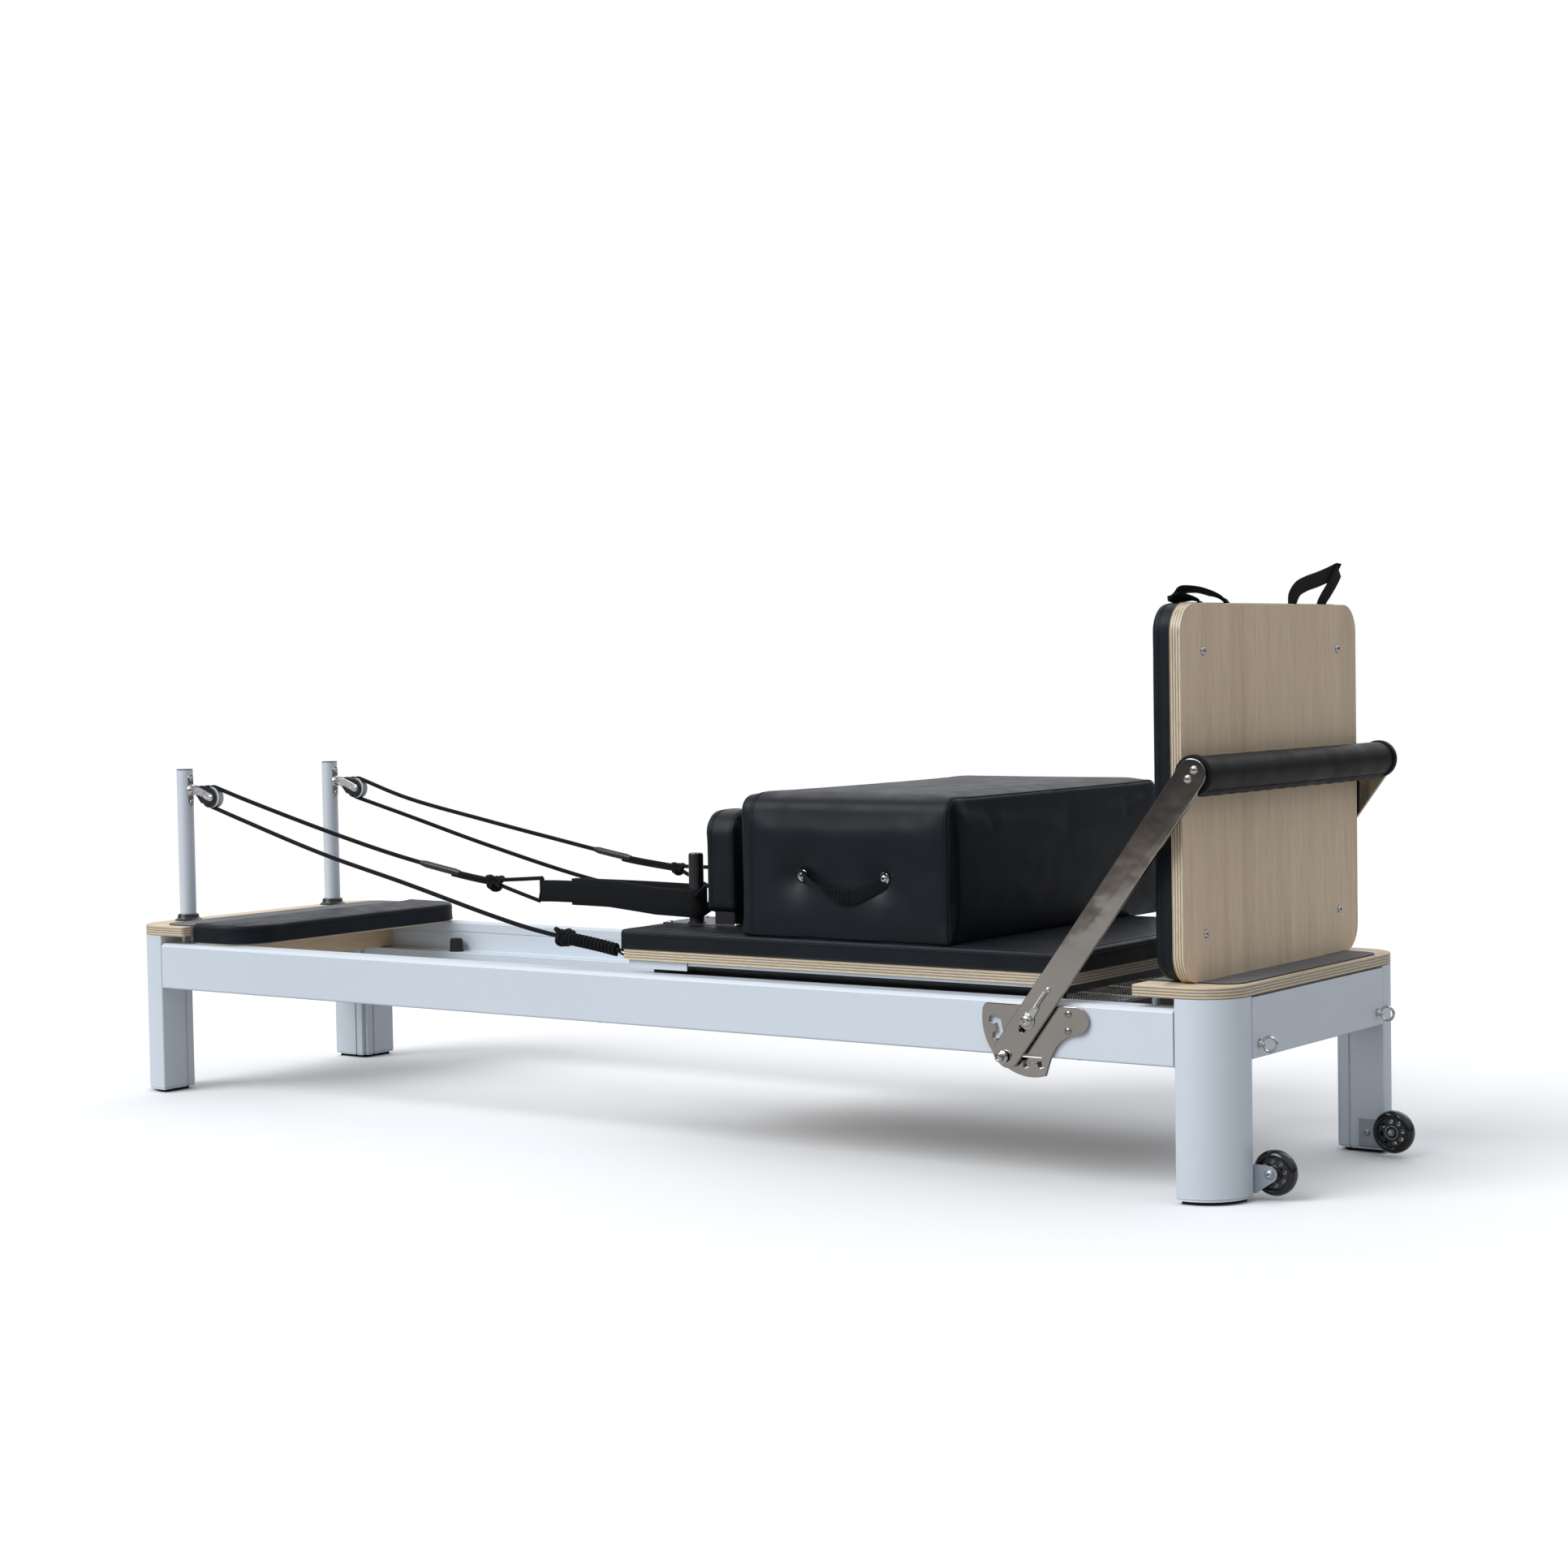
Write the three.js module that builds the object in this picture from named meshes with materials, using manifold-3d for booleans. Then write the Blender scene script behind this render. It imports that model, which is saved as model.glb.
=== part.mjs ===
// Pilates reformer: a wheeled aluminium bed with a sprung sliding carriage, pulley risers,
// a folding footbar, a lift-out jump board and a loose sitting box. Millimetres, +Z up.
// +X points to the foot end, -X to the pulley (head) end, -Y is the near side.
import * as THREE from 'three';
import { mergeVertices } from 'three/addons/utils/BufferGeometryUtils.js';
import Module from 'manifold-3d';

const wasm = await Module();
wasm.setup();

// ---------------------------------------------------------------- driving sizes
const GAP = 0.3;
const FRAME = { halfLength: 1200, halfWidth: 321 };
const LEG = { size: 86, cornerRadius: 72, notch: 8, top: 310, padHeight: 6, padInset: 8 };
const RAIL = { low: 206, high: 294, width: 45, ledgeTop: 237, ledgeInner: 240, chamfer: 3 };
const END_RAIL = { low: 214, high: 307, depth: 40 };
const DECK = { thickness: 18, headInner: -1052, footInner: 1041, innerCorner: 6 };
const PLATFORM = { back: -1050, front: -900, near: -300, far: 322, top: 334, corners: [8, 85, 62, 8] };
const CROSSBOARD = { front: -1065, thickness: 18, top: 291, bottom: 238 };
const POST = { x: -1166, y: 201, radius: 16, top: 630 };
const SHEAVE = { x: -1083, z: 575, radius: 20.5, groove: 15.7, halfWidth: 6.5, bore: 3.05, pin: 3 };
const SWIVEL = { x: -1136, z: 588, pin: 2.5, hole: 2.56, tongue: 5, lug: 7, lugThickness: 3 };
const EYE_PLATE = { halfWidth: 9, halfHeight: 30, thickness: 3 };
const CHEEK = { inner: 7, thickness: 2.5, nose: 23.5, neck: 8, throat: [17, 16.5], bridge: [10, 19] };
const ROPE = { radius: 4, pitch: 20.2, sides: 8, strandSteps: 34, wrapSteps: 10, drop: 15 };
const CARRIAGE = { head: 31.5, foot: 918, halfWidth: 296, low: 316, high: 334, padTop: 367, corner: 30 };
const CHASSIS = { head: 62, foot: 886, plateInner: 244, plateOuter: 249, low: 250, hookLow: 262 };
const CROSS_BEAM = { x: [74, 844], width: 30, height: 22 };
const CARRIAGE_WHEEL = { x: [94, 854], radius: 22, y: 260.5, width: 17, pin: 4, bore: 4.06 };
const SPRING = { hookBar: [365, 395], frameBar: [985, 1003], z: 277, radius: 11, y: [-150, -50, 50, 150] };
const PEG = { x: 97, y: 170, radius: 13, top: 493 };
const REST = { back: 139, front: 197, inner: 70, outer: 190, low: 392, high: 570 };
const PLATE = { back: 33, front: 200, inner: 64, outer: 190, thickness: 3.5 };
const STRAP = { end: [-262, -122], web: 85, low: 392, high: 439, innerRadius: 14, thickness: 5, thin: 3 };
const BOX = { back: 294, front: 706, near: -298, far: 402, top: 605, corner: 26, bevel: 8 };
const BOARD = { front: 1124, back: 1106, padBack: 1074, halfWidth: 306, top: 901, corner: 45, padInset: 2 };
const TONGUE = { inner: 175, outer: 255, bottom: 312, slack: 2 };
const HANDLE = { webbing: 24, thickness: 2.4, x: 1103 };
const PIVOT = { x: 869, z: 264, pin: 6, hole: 6.06, slot: 16, head: 10.5 };
const HUB = { radius: 13, thickness: 2, tab: 27, tabWidth: 12 };
const ARM = { length: 476.4, tail: 87, width: 48, inner: 331, outer: 338, corner: 20, elevation: 53.1 };
const GRIP = { radius: 28.5 };
const QUADRANT = { inner: 321.4, outer: 327.4, rim: 89, top: 24, lobeX: 80, lobeZ: 3, lobe: 21.5 };
const LOCK = { slotRadius: 60, slotWidth: 11, notchRadius: 71, first: 182, last: 284 };
const LOCK_NOTCHES = [182, 203, 234, 262, 284];
const LOCK_PIN = { reach: 73, radius: 7, end: 355 };
const CASTER = { x: 1226, y: 214, z: 42, radius: 35, width: 24, pin: 4, bore: 4.06 };
const CASTER_TREAD = { halfWidth: 4, flank: 33, side: 29, chamfer: 3 };
const CASTER_PLATE = { thickness: 3.5, back: 1156, neck: 1204, low: 12, high: 56, nose: 12.5, boss: 7 };
const EYEBOLT = { y: 211, z: 235.5, ringX: 1217.5, ring: 11.2, wire: 2.3, collar: 6.5, collarLength: 6 };
const SHIFT_X = (CASTER.x + CASTER.radius - FRAME.halfLength) / 2;
const SHIFT_Y = (BOX.far - LOCK_PIN.end) / 2;

// ---------------------------------------------------------------- materials
const paint = (color, roughness, metalness) => new THREE.MeshStandardMaterial({ color, roughness, metalness });
const MATERIALS = {
  aluminium: paint(0xb9c3cc, 0.38, 0.75),
  plywood: paint(0xd9c39c, 0.6, 0),
  laminate: paint(0xb9a68c, 0.55, 0),
  leather: paint(0x16181c, 0.45, 0),
  rubber: paint(0x0c0c0d, 0.8, 0),
  steel: paint(0xb4aca4, 0.16, 1),
  blackSteel: paint(0x0e0f11, 0.4, 0.4),
  plastic: paint(0x8a9098, 0.5, 0),
  webbing: paint(0x0b0b0d, 0.9, 0),
  wheel: paint(0x090a0c, 0.12, 0),
};

// ---------------------------------------------------------------- geometry helpers
const rad = THREE.MathUtils.degToRad;

function bare(geometry) {
  const copy = geometry.clone();
  copy.deleteAttribute('normal');
  copy.deleteAttribute('uv');
  return mergeVertices(copy, 1e-4);
}

function solid(geometry) {
  const merged = bare(geometry);
  return new wasm.Manifold(new wasm.Mesh({
    numProp: 3,
    vertProperties: new Float32Array(merged.attributes.position.array),
    triVerts: new Uint32Array(merged.index.array),
  }));
}

function geometryOf(body) {
  const mesh = body.getMesh();
  const geometry = new THREE.BufferGeometry();
  geometry.setAttribute('position', new THREE.BufferAttribute(mesh.vertProperties, 3));
  geometry.setIndex(new THREE.BufferAttribute(mesh.triVerts, 1));
  return geometry;
}

const join = (first, ...rest) => geometryOf(rest.reduce((a, b) => a.add(solid(b)), solid(first)));
const cut = (first, ...rest) => geometryOf(rest.reduce((a, b) => a.subtract(solid(b)), solid(first)));

// The same shape on the other side of the machine's centre plane.
function mirrored(geometry) {
  const copy = bare(geometry);
  copy.scale(1, -1, 1);
  const index = copy.index.array;
  for (let i = 0; i < index.length; i += 3) {
    [index[i + 1], index[i + 2]] = [index[i + 2], index[i + 1]];
  }
  return copy;
}

function block([x0, x1], [y0, y1], [z0, z1]) {
  const geometry = new THREE.BoxGeometry(x1 - x0, y1 - y0, z1 - z0);
  return geometry.translate((x0 + x1) / 2, (y0 + y1) / 2, (z0 + z1) / 2);
}

function extrude(shape, depth, curveSegments, bevel = 0) {
  return new THREE.ExtrudeGeometry(shape, {
    depth: depth - 2 * bevel,
    curveSegments,
    steps: 1,
    bevelEnabled: bevel > 0,
    bevelSize: bevel,
    bevelThickness: bevel,
    bevelOffset: -bevel,
    bevelSegments: 1,
  }).translate(0, 0, bevel);
}

// A shape drawn in X and Y, standing from z0 to z1.
const standing = (shape, z0, z1, segments = 10, bevel = 0) =>
  extrude(shape, z1 - z0, segments, bevel).translate(0, 0, z0);

// A shape drawn in X and Z, reaching across the machine from y0 to y1.
const across = (shape, y0, y1, segments = 10) =>
  extrude(shape, y1 - y0, segments).rotateX(Math.PI / 2).translate(0, y1, 0);

// A shape drawn in Y and Z, reaching along the machine from x0 to x1.
function along(shape, x0, x1, segments = 10, bevel = 0) {
  const turn = new THREE.Matrix4().makeBasis(
    new THREE.Vector3(0, 1, 0), new THREE.Vector3(0, 0, 1), new THREE.Vector3(1, 0, 0));
  return extrude(shape, x1 - x0, segments, bevel).applyMatrix4(turn).translate(x0, 0, 0);
}

function polygon(points) {
  return new THREE.Shape(points.map(([a, b]) => new THREE.Vector2(a, b)));
}

// A rectangle whose corners (low-low, high-low, high-high, low-high) have their own radii.
function roundedRectangle([a0, a1], [b0, b1], radii) {
  const [r0, r1, r2, r3] = Array.isArray(radii) ? radii : [radii, radii, radii, radii];
  const shape = new THREE.Shape();
  shape.moveTo(a0 + r0, b0);
  shape.lineTo(a1 - r1, b0);
  shape.absarc(a1 - r1, b0 + r1, r1, -Math.PI / 2, 0, false);
  shape.lineTo(a1, b1 - r2);
  shape.absarc(a1 - r2, b1 - r2, r2, 0, Math.PI / 2, false);
  shape.lineTo(a0 + r3, b1);
  shape.absarc(a0 + r3, b1 - r3, r3, Math.PI / 2, Math.PI, false);
  shape.lineTo(a0, b0 + r0);
  shape.absarc(a0 + r0, b0 + r0, r0, Math.PI, 1.5 * Math.PI, false);
  return shape;
}

function capsule([ax, ay], [bx, by], radius) {
  const angle = Math.atan2(by - ay, bx - ax);
  const shape = new THREE.Shape();
  shape.absarc(bx, by, radius, angle - Math.PI / 2, angle + Math.PI / 2, false);
  shape.absarc(ax, ay, radius, angle + Math.PI / 2, angle + 1.5 * Math.PI, false);
  return shape;
}

// How far a cylinder along Y turns about X, then about Z, to lie along each axis.
const TURN_X = { x: 0, y: 0, z: Math.PI / 2 };
const TURN_Z = { x: -Math.PI / 2, y: 0, z: 0 };

function rod(axis, [x, y, z], radius, low, high, segments = 24) {
  const geometry = new THREE.CylinderGeometry(radius, radius, high - low, segments);
  geometry.translate(0, (low + high) / 2, 0);
  return geometry.rotateX(TURN_X[axis]).rotateZ(TURN_Z[axis]).translate(x, y, z);
}

// A turned piece about an axis along Y, from its (radius, y) outline.
function turned(outline, [x, y, z], segments) {
  const points = [...outline, outline[0]].map(([r, h]) => new THREE.Vector2(r, h));
  return new THREE.LatheGeometry(points, segments).translate(x, y, z);
}

const group = new THREE.Group();
group.position.set(-SHIFT_X, -SHIFT_Y, 0);

function add(name, geometry, material) {
  const mesh = new THREE.Mesh(bare(geometry), material);
  mesh.name = name;
  group.add(mesh);
}

// Adds NAME_near from a shape made on the -Y side, and its mirror image NAME_far.
function addPair(name, geometry, material) {
  add(`${name}_near`, geometry, material);
  add(`${name}_far`, mirrored(geometry), material);
}

// ---------------------------------------------------------------- frame
// Plan of a leg at the +X, -Y corner: a big outer radius and a notched inner corner.
function legPlan(inset) {
  const outerX = FRAME.halfLength - inset;
  const outerY = -FRAME.halfWidth + inset;
  const innerX = FRAME.halfLength - LEG.size + inset;
  const innerY = -FRAME.halfWidth + LEG.size - inset;
  const radius = LEG.cornerRadius - inset;
  const shape = new THREE.Shape();
  shape.moveTo(innerX, outerY);
  shape.lineTo(outerX - radius, outerY);
  shape.absarc(outerX - radius, outerY + radius, radius, -Math.PI / 2, 0, false);
  shape.lineTo(outerX, innerY);
  shape.lineTo(innerX + LEG.notch, innerY);
  shape.lineTo(innerX + LEG.notch, innerY - LEG.notch);
  shape.lineTo(innerX, innerY - LEG.notch);
  return shape;
}

function legs() {
  const leg = standing(legPlan(0), LEG.padHeight + GAP, LEG.top - GAP);
  const pad = standing(legPlan(LEG.padInset), 0, LEG.padHeight);
  const toHead = (geometry) => mirrored(geometry.clone().rotateZ(Math.PI));
  addPair('leg_foot', leg, MATERIALS.aluminium);
  addPair('leg_head', toHead(leg), MATERIALS.aluminium);
  addPair('pad_foot', pad, MATERIALS.rubber);
  addPair('pad_head', toHead(pad), MATERIALS.rubber);
}

function rails() {
  const outer = -FRAME.halfWidth;
  const inner = outer + RAIL.width;
  const profile = polygon([
    [outer, RAIL.low + RAIL.chamfer], [outer + RAIL.chamfer, RAIL.low], [-RAIL.ledgeInner, RAIL.low],
    [-RAIL.ledgeInner, RAIL.ledgeTop], [inner, RAIL.ledgeTop], [inner, RAIL.high],
    [outer + 1, RAIL.high], [outer, RAIL.high - 1],
  ]);
  const reach = FRAME.halfLength - LEG.size - GAP;
  addPair('side_rail', along(profile, -reach, reach), MATERIALS.aluminium);
  const halfSpan = FRAME.halfWidth - LEG.size - GAP;
  for (const [name, face, inward] of [['end_rail_head', -1, 1], ['end_rail_foot', 1, -1]]) {
    const x = face * FRAME.halfLength;
    const span = [x, x + inward * END_RAIL.depth].sort((a, b) => a - b);
    add(name, block(span, [-halfSpan, halfSpan], [END_RAIL.low, END_RAIL.high]), MATERIALS.aluminium);
  }
}

function decks() {
  const width = [-FRAME.halfWidth, FRAME.halfWidth];
  const top = LEG.top + DECK.thickness;
  const head = roundedRectangle([-FRAME.halfLength, DECK.headInner], width,
    [LEG.cornerRadius, DECK.innerCorner, DECK.innerCorner, LEG.cornerRadius]);
  add('head_deck', standing(head, LEG.top, top), MATERIALS.plywood);
  const foot = roundedRectangle([DECK.footInner, FRAME.halfLength], width,
    [DECK.innerCorner, LEG.cornerRadius, LEG.cornerRadius, DECK.innerCorner]);
  const slots = [-1, 1].map((side) => block(
    [BOARD.back - TONGUE.slack, BOARD.front + TONGUE.slack],
    [side * TONGUE.inner, side * TONGUE.outer].sort((a, b) => a - b)
      .map((y, i) => y + (i ? TONGUE.slack : -TONGUE.slack)),
    [LEG.top - 1, top + 1]));
  add('foot_deck', cut(standing(foot, LEG.top, top), ...slots), MATERIALS.plywood);
}

function headEnd() {
  const { back, front, near, far, corners } = PLATFORM;
  const plan = roundedRectangle([back, front], [near, far], corners);
  add('end_platform', standing(plan, RAIL.high + GAP, PLATFORM.top, 8), MATERIALS.leather);
  const halfSpan = FRAME.halfWidth - RAIL.width - GAP;
  add('head_crossboard', block([CROSSBOARD.front - CROSSBOARD.thickness, CROSSBOARD.front],
    [-halfSpan, halfSpan], [CROSSBOARD.bottom, CROSSBOARD.top]), MATERIALS.laminate);
}

function footEnd() {
  const collar = rod('x', [0, -EYEBOLT.y, EYEBOLT.z], EYEBOLT.collar,
    FRAME.halfLength + GAP, FRAME.halfLength + EYEBOLT.collarLength, 16);
  const ring = new THREE.TorusGeometry(EYEBOLT.ring, EYEBOLT.wire, 6, 20)
    .rotateX(Math.PI / 2).translate(EYEBOLT.ringX, -EYEBOLT.y, EYEBOLT.z);
  addPair('eyebolt', join(collar, ring), MATERIALS.steel);
}

// ---------------------------------------------------------------- transport wheels
function transportWheels() {
  const faceY = -(FRAME.halfWidth - LEG.size) + GAP;
  const plateEnd = faceY + CASTER_PLATE.thickness;
  const wheelLow = -CASTER.y - CASTER.width / 2;
  const wheelHigh = -CASTER.y + CASTER.width / 2;
  const plate = new THREE.Shape();
  plate.moveTo(CASTER_PLATE.back, CASTER_PLATE.low);
  plate.lineTo(CASTER_PLATE.neck, CASTER_PLATE.low);
  plate.absarc(CASTER.x, CASTER.z, CASTER_PLATE.nose, rad(-50), rad(95), false);
  plate.lineTo(CASTER_PLATE.back, CASTER_PLATE.high);
  const hub = [CASTER.x, 0, CASTER.z];
  addPair('wheel_bracket', join(
    across(plate, faceY, plateEnd),
    rod('y', hub, CASTER.pin, plateEnd - 1, wheelHigh + 6, 16),
    rod('y', hub, CASTER_PLATE.boss, plateEnd - 1, wheelLow - GAP, 16),
    rod('y', hub, CASTER_PLATE.boss, wheelHigh + GAP, wheelHigh + 5, 6),
  ), MATERIALS.steel);
  const half = CASTER.width / 2;
  const { halfWidth, flank, side, chamfer } = CASTER_TREAD;
  const outline = [
    [CASTER.bore, -half], [side, -half], [flank, chamfer - half], [CASTER.radius, -halfWidth],
    [CASTER.radius, halfWidth], [flank, half - chamfer], [side, half], [CASTER.bore, half],
  ];
  addPair('transport_wheel', turned(outline, [CASTER.x, -CASTER.y, CASTER.z], 32), MATERIALS.wheel);
}

// ---------------------------------------------------------------- pulleys and ropes
function pulleys() {
  const y = -POST.y;
  const deckTop = LEG.top + DECK.thickness;
  const face = POST.x + POST.radius;
  const lugPlan = roundedRectangle([face, SWIVEL.x + 6], [y - SWIVEL.lug, y + SWIVEL.lug], [1, 5, 5, 1]);
  const lug = (z) => standing(lugPlan, z, z + SWIVEL.lugThickness, 4);
  addPair('riser_post', join(
    rod('z', [POST.x, y, 0], POST.radius, deckTop + GAP, POST.top),
    block([face - 5, face + EYE_PLATE.thickness], [y - EYE_PLATE.halfWidth, y + EYE_PLATE.halfWidth],
      [SWIVEL.z - EYE_PLATE.halfHeight, SWIVEL.z + EYE_PLATE.halfHeight]),
    lug(SWIVEL.z + SWIVEL.tongue + GAP),
    lug(SWIVEL.z - SWIVEL.tongue - GAP - SWIVEL.lugThickness),
    rod('z', [SWIVEL.x, y, SWIVEL.z], SWIVEL.pin, -SWIVEL.tongue - 2, SWIVEL.tongue + 2, 16),
  ), MATERIALS.aluminium);

  const bridge = CHEEK.bridge.map((reach) => SWIVEL.x + reach);
  const outside = CHEEK.inner + CHEEK.thickness;
  const cheekPlan = new THREE.Shape();
  cheekPlan.moveTo(bridge[0], SWIVEL.z - CHEEK.neck);
  cheekPlan.lineTo(SHEAVE.x - CHEEK.throat[0], SHEAVE.z - CHEEK.throat[1]);
  cheekPlan.absarc(SHEAVE.x, SHEAVE.z, CHEEK.nose, rad(225), rad(455), false);
  cheekPlan.lineTo(bridge[0], SWIVEL.z + CHEEK.neck);
  const cheek = (low) => across(cheekPlan, y + low, y + low + CHEEK.thickness, 8);
  const tongue = standing(roundedRectangle([SWIVEL.x - 5.5, bridge[1]], [y - 5, y + 5], [4, 1, 1, 4]),
    SWIVEL.z - SWIVEL.tongue, SWIVEL.z + SWIVEL.tongue, 4);
  const hole = rod('z', [SWIVEL.x, y, SWIVEL.z], SWIVEL.hole, -9, 9, 16);
  const inside = outside - 0.5;
  const pulleyBody = join(cheek(-outside), cheek(CHEEK.inner),
    block(bridge, [y - inside, y + inside], [SWIVEL.z - SWIVEL.lug, SWIVEL.z + SWIVEL.lug]), tongue,
    rod('y', [SHEAVE.x, y, SHEAVE.z], SHEAVE.pin, -inside, inside, 16));
  addPair('pulley_block', cut(pulleyBody, hole), MATERIALS.blackSteel);

  const w = SHEAVE.halfWidth;
  const outline = [
    [SHEAVE.bore, -w], [SHEAVE.radius, -w], [SHEAVE.radius, 1 - w], [SHEAVE.groove, 2.1 - w],
    [SHEAVE.groove, w - 2.1], [SHEAVE.radius, w - 1], [SHEAVE.radius, w], [SHEAVE.bore, w],
  ];
  addPair('sheave', turned(outline, [SHEAVE.x, y, SHEAVE.z], 24), MATERIALS.plastic);
}

// A rope's centreline: lower strand, half turn round the sheave, upper strand.
class RopeRoute extends THREE.Curve {
  constructor(lower, wrap, upper) {
    super();
    const steps = 2 * ROPE.strandSteps + ROPE.wrapSteps;
    const first = ROPE.strandSteps / steps;
    const second = first + ROPE.wrapSteps / steps;
    this.pieces = [[0, first, lower], [first, second, wrap], [second, 1, upper]];
  }
  getPoint(t, target = new THREE.Vector3()) {
    const [from, to, piece] = this.pieces.find(([, end]) => t <= end) ?? this.pieces[2];
    return piece.getPointAt(Math.min(1, Math.max(0, (t - from) / (to - from))), target);
  }
  getPointAt(u, target) {
    return this.getPoint(u, target);
  }
  getTangentAt(u, target) {
    return this.getTangent(u, target);
  }
}

class SheaveWrap extends THREE.Curve {
  getPoint(t, target = new THREE.Vector3()) {
    const angle = rad(270 - ROPE.drop - 180 * t);
    return target.set(SHEAVE.x + ROPE.pitch * Math.cos(angle), -POST.y,
      SHEAVE.z + ROPE.pitch * Math.sin(angle));
  }
}

// Hand-chosen points of the ropes, with Y as a distance from the centre plane.
const ROPE_LOWER = {
  near: [
    [22, 281, 327], [-51, 277, 337], [-130, 272, 346], [-211, 266, 357.5], [-314, 258.5, 377.5],
    [-529, 242.5, 424.5], [-760, 225, 472], [-994, 207.5, 530.5],
  ],
  far: [
    [22, 281, 327], [-51, 277, 336], [-130, 272, 343], [-211, 266, 352], [-314, 258.5, 368],
    [-507, 244, 402.5], [-748, 226, 462], [-957, 210, 520],
  ],
};
const ROPE_UPPER = {
  near: [
    [-1003, 198, 572.5], [-794, 190, 516], [-605, 183, 470.5], [-446, 177, 440.5], [-369, 174, 430],
    [-264, 170.3, 420],
  ],
  far: [
    [-943, 196.5, 557], [-714, 189, 514], [-495, 182, 476], [-431, 180, 465], [-329, 176.5, 447],
    [-221, 173, 432], [-124, 170.3, 423],
  ],
};

function rope(lowerPoints, upperPoints) {
  const wrap = new SheaveWrap();
  const points = (list) => list.map(([x, y, z]) => new THREE.Vector3(x, -y, z));
  const lower = new THREE.CatmullRomCurve3([...points(lowerPoints), wrap.getPoint(0)]);
  const upper = new THREE.CatmullRomCurve3([wrap.getPoint(1), ...points(upperPoints)]);
  const section = new THREE.Shape(Array.from({ length: ROPE.sides }, (_, i) => {
    const angle = (2 * Math.PI * i) / ROPE.sides;
    return new THREE.Vector2(ROPE.radius * Math.cos(angle), ROPE.radius * Math.sin(angle));
  }));
  return new THREE.ExtrudeGeometry(section, {
    steps: 2 * ROPE.strandSteps + ROPE.wrapSteps,
    bevelEnabled: false,
    extrudePath: new RopeRoute(lower, wrap, upper),
  });
}

// The hand strap: webbing tail, then a padded loop laid round the peg.
function strap(end) {
  const y = -PEG.y;
  const padded = end + STRAP.web;
  const shape = new THREE.Shape();
  shape.moveTo(end, y - STRAP.thin);
  shape.lineTo(padded, y - STRAP.thin);
  shape.lineTo(padded + 12, y - STRAP.thickness - 2);
  shape.absarc(PEG.x, y, STRAP.innerRadius + STRAP.thickness, rad(-93), rad(93), false);
  shape.lineTo(padded + 12, y + STRAP.thickness + 2);
  shape.lineTo(padded, y + STRAP.thin);
  shape.lineTo(end, y + STRAP.thin);
  const loop = new THREE.Path();
  loop.absarc(PEG.x, y, STRAP.innerRadius, rad(-93), rad(93), false);
  loop.lineTo(padded + 40, y);
  shape.holes.push(loop);
  return standing(shape, STRAP.low, STRAP.high, 12);
}

function ropesAndStraps() {
  add('rope_near', rope(ROPE_LOWER.near, ROPE_UPPER.near), MATERIALS.webbing);
  add('rope_far', mirrored(rope(ROPE_LOWER.far, ROPE_UPPER.far)), MATERIALS.webbing);
  add('strap_near', strap(STRAP.end[0]), MATERIALS.webbing);
  add('strap_far', mirrored(strap(STRAP.end[1])), MATERIALS.webbing);
}

// ---------------------------------------------------------------- carriage
function carriage() {
  const { head, foot, halfWidth, corner } = CARRIAGE;
  add('carriage_deck', standing(roundedRectangle([head, foot], [-halfWidth, halfWidth], corner),
    CARRIAGE.low, CARRIAGE.high, 6), MATERIALS.plywood);
  add('carriage_pad', standing(roundedRectangle([head - 2, foot + 1], [-halfWidth - 1, halfWidth + 1],
    corner + 4), CARRIAGE.high + GAP, CARRIAGE.padTop, 6, 5), MATERIALS.leather);

  const top = CARRIAGE.low - GAP;
  const axleZ = RAIL.ledgeTop + GAP + CARRIAGE_WHEEL.radius;
  const pieces = [];
  for (const side of [-1, 1]) {
    const plate = [side * CHASSIS.plateInner, side * CHASSIS.plateOuter].sort((a, b) => a - b);
    pieces.push(block([CHASSIS.head, CHASSIS.foot], plate, [CHASSIS.low, top]));
    for (const x of CARRIAGE_WHEEL.x) {
      const ends = [side * (CHASSIS.plateOuter - 2), side * (CARRIAGE_WHEEL.y + 9)].sort((a, b) => a - b);
      pieces.push(rod('y', [x, 0, axleZ], CARRIAGE_WHEEL.pin, ends[0], ends[1], 16));
    }
  }
  const span = [-CHASSIS.plateInner - 1, CHASSIS.plateInner + 1];
  pieces.push(block(SPRING.hookBar, span, [CHASSIS.hookLow, top]));
  for (const x of CROSS_BEAM.x) {
    pieces.push(block([x, x + CROSS_BEAM.width], span, [top - CROSS_BEAM.height, top]));
  }
  add('carriage_chassis', join(...pieces), MATERIALS.blackSteel);

  const half = CARRIAGE_WHEEL.width / 2;
  const { radius, bore } = CARRIAGE_WHEEL;
  const outline = [[bore, -half], [radius, -half], [radius, half], [bore, half]];
  CARRIAGE_WHEEL.x.forEach((x, i) => {
    const wheel = turned(outline, [x, -CARRIAGE_WHEEL.y, axleZ], 24);
    addPair(`carriage_wheel_${i ? 'foot' : 'head'}`, wheel, MATERIALS.rubber);
  });
}

function shoulderRests() {
  const base = CARRIAGE.padTop + GAP;
  const plateTop = base + PLATE.thickness;
  const plan = roundedRectangle([PLATE.back, PLATE.front], [-PLATE.outer, -PLATE.inner], 6);
  addPair('shoulder_bracket', join(
    standing(plan, base, plateTop, 3),
    rod('z', [PEG.x, -PEG.y, 0], PEG.radius, plateTop - 1, PEG.top),
    block([REST.back + 8, REST.front - 8], [-REST.outer + 8, -REST.inner - 8],
      [plateTop - 1, REST.low - GAP]),
  ), MATERIALS.blackSteel);
  const face = roundedRectangle([-REST.outer, -REST.inner], [REST.low, REST.high], [12, 12, 40, 40]);
  addPair('shoulder_rest', along(face, REST.back, REST.front, 6, 6), MATERIALS.leather);
}

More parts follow.
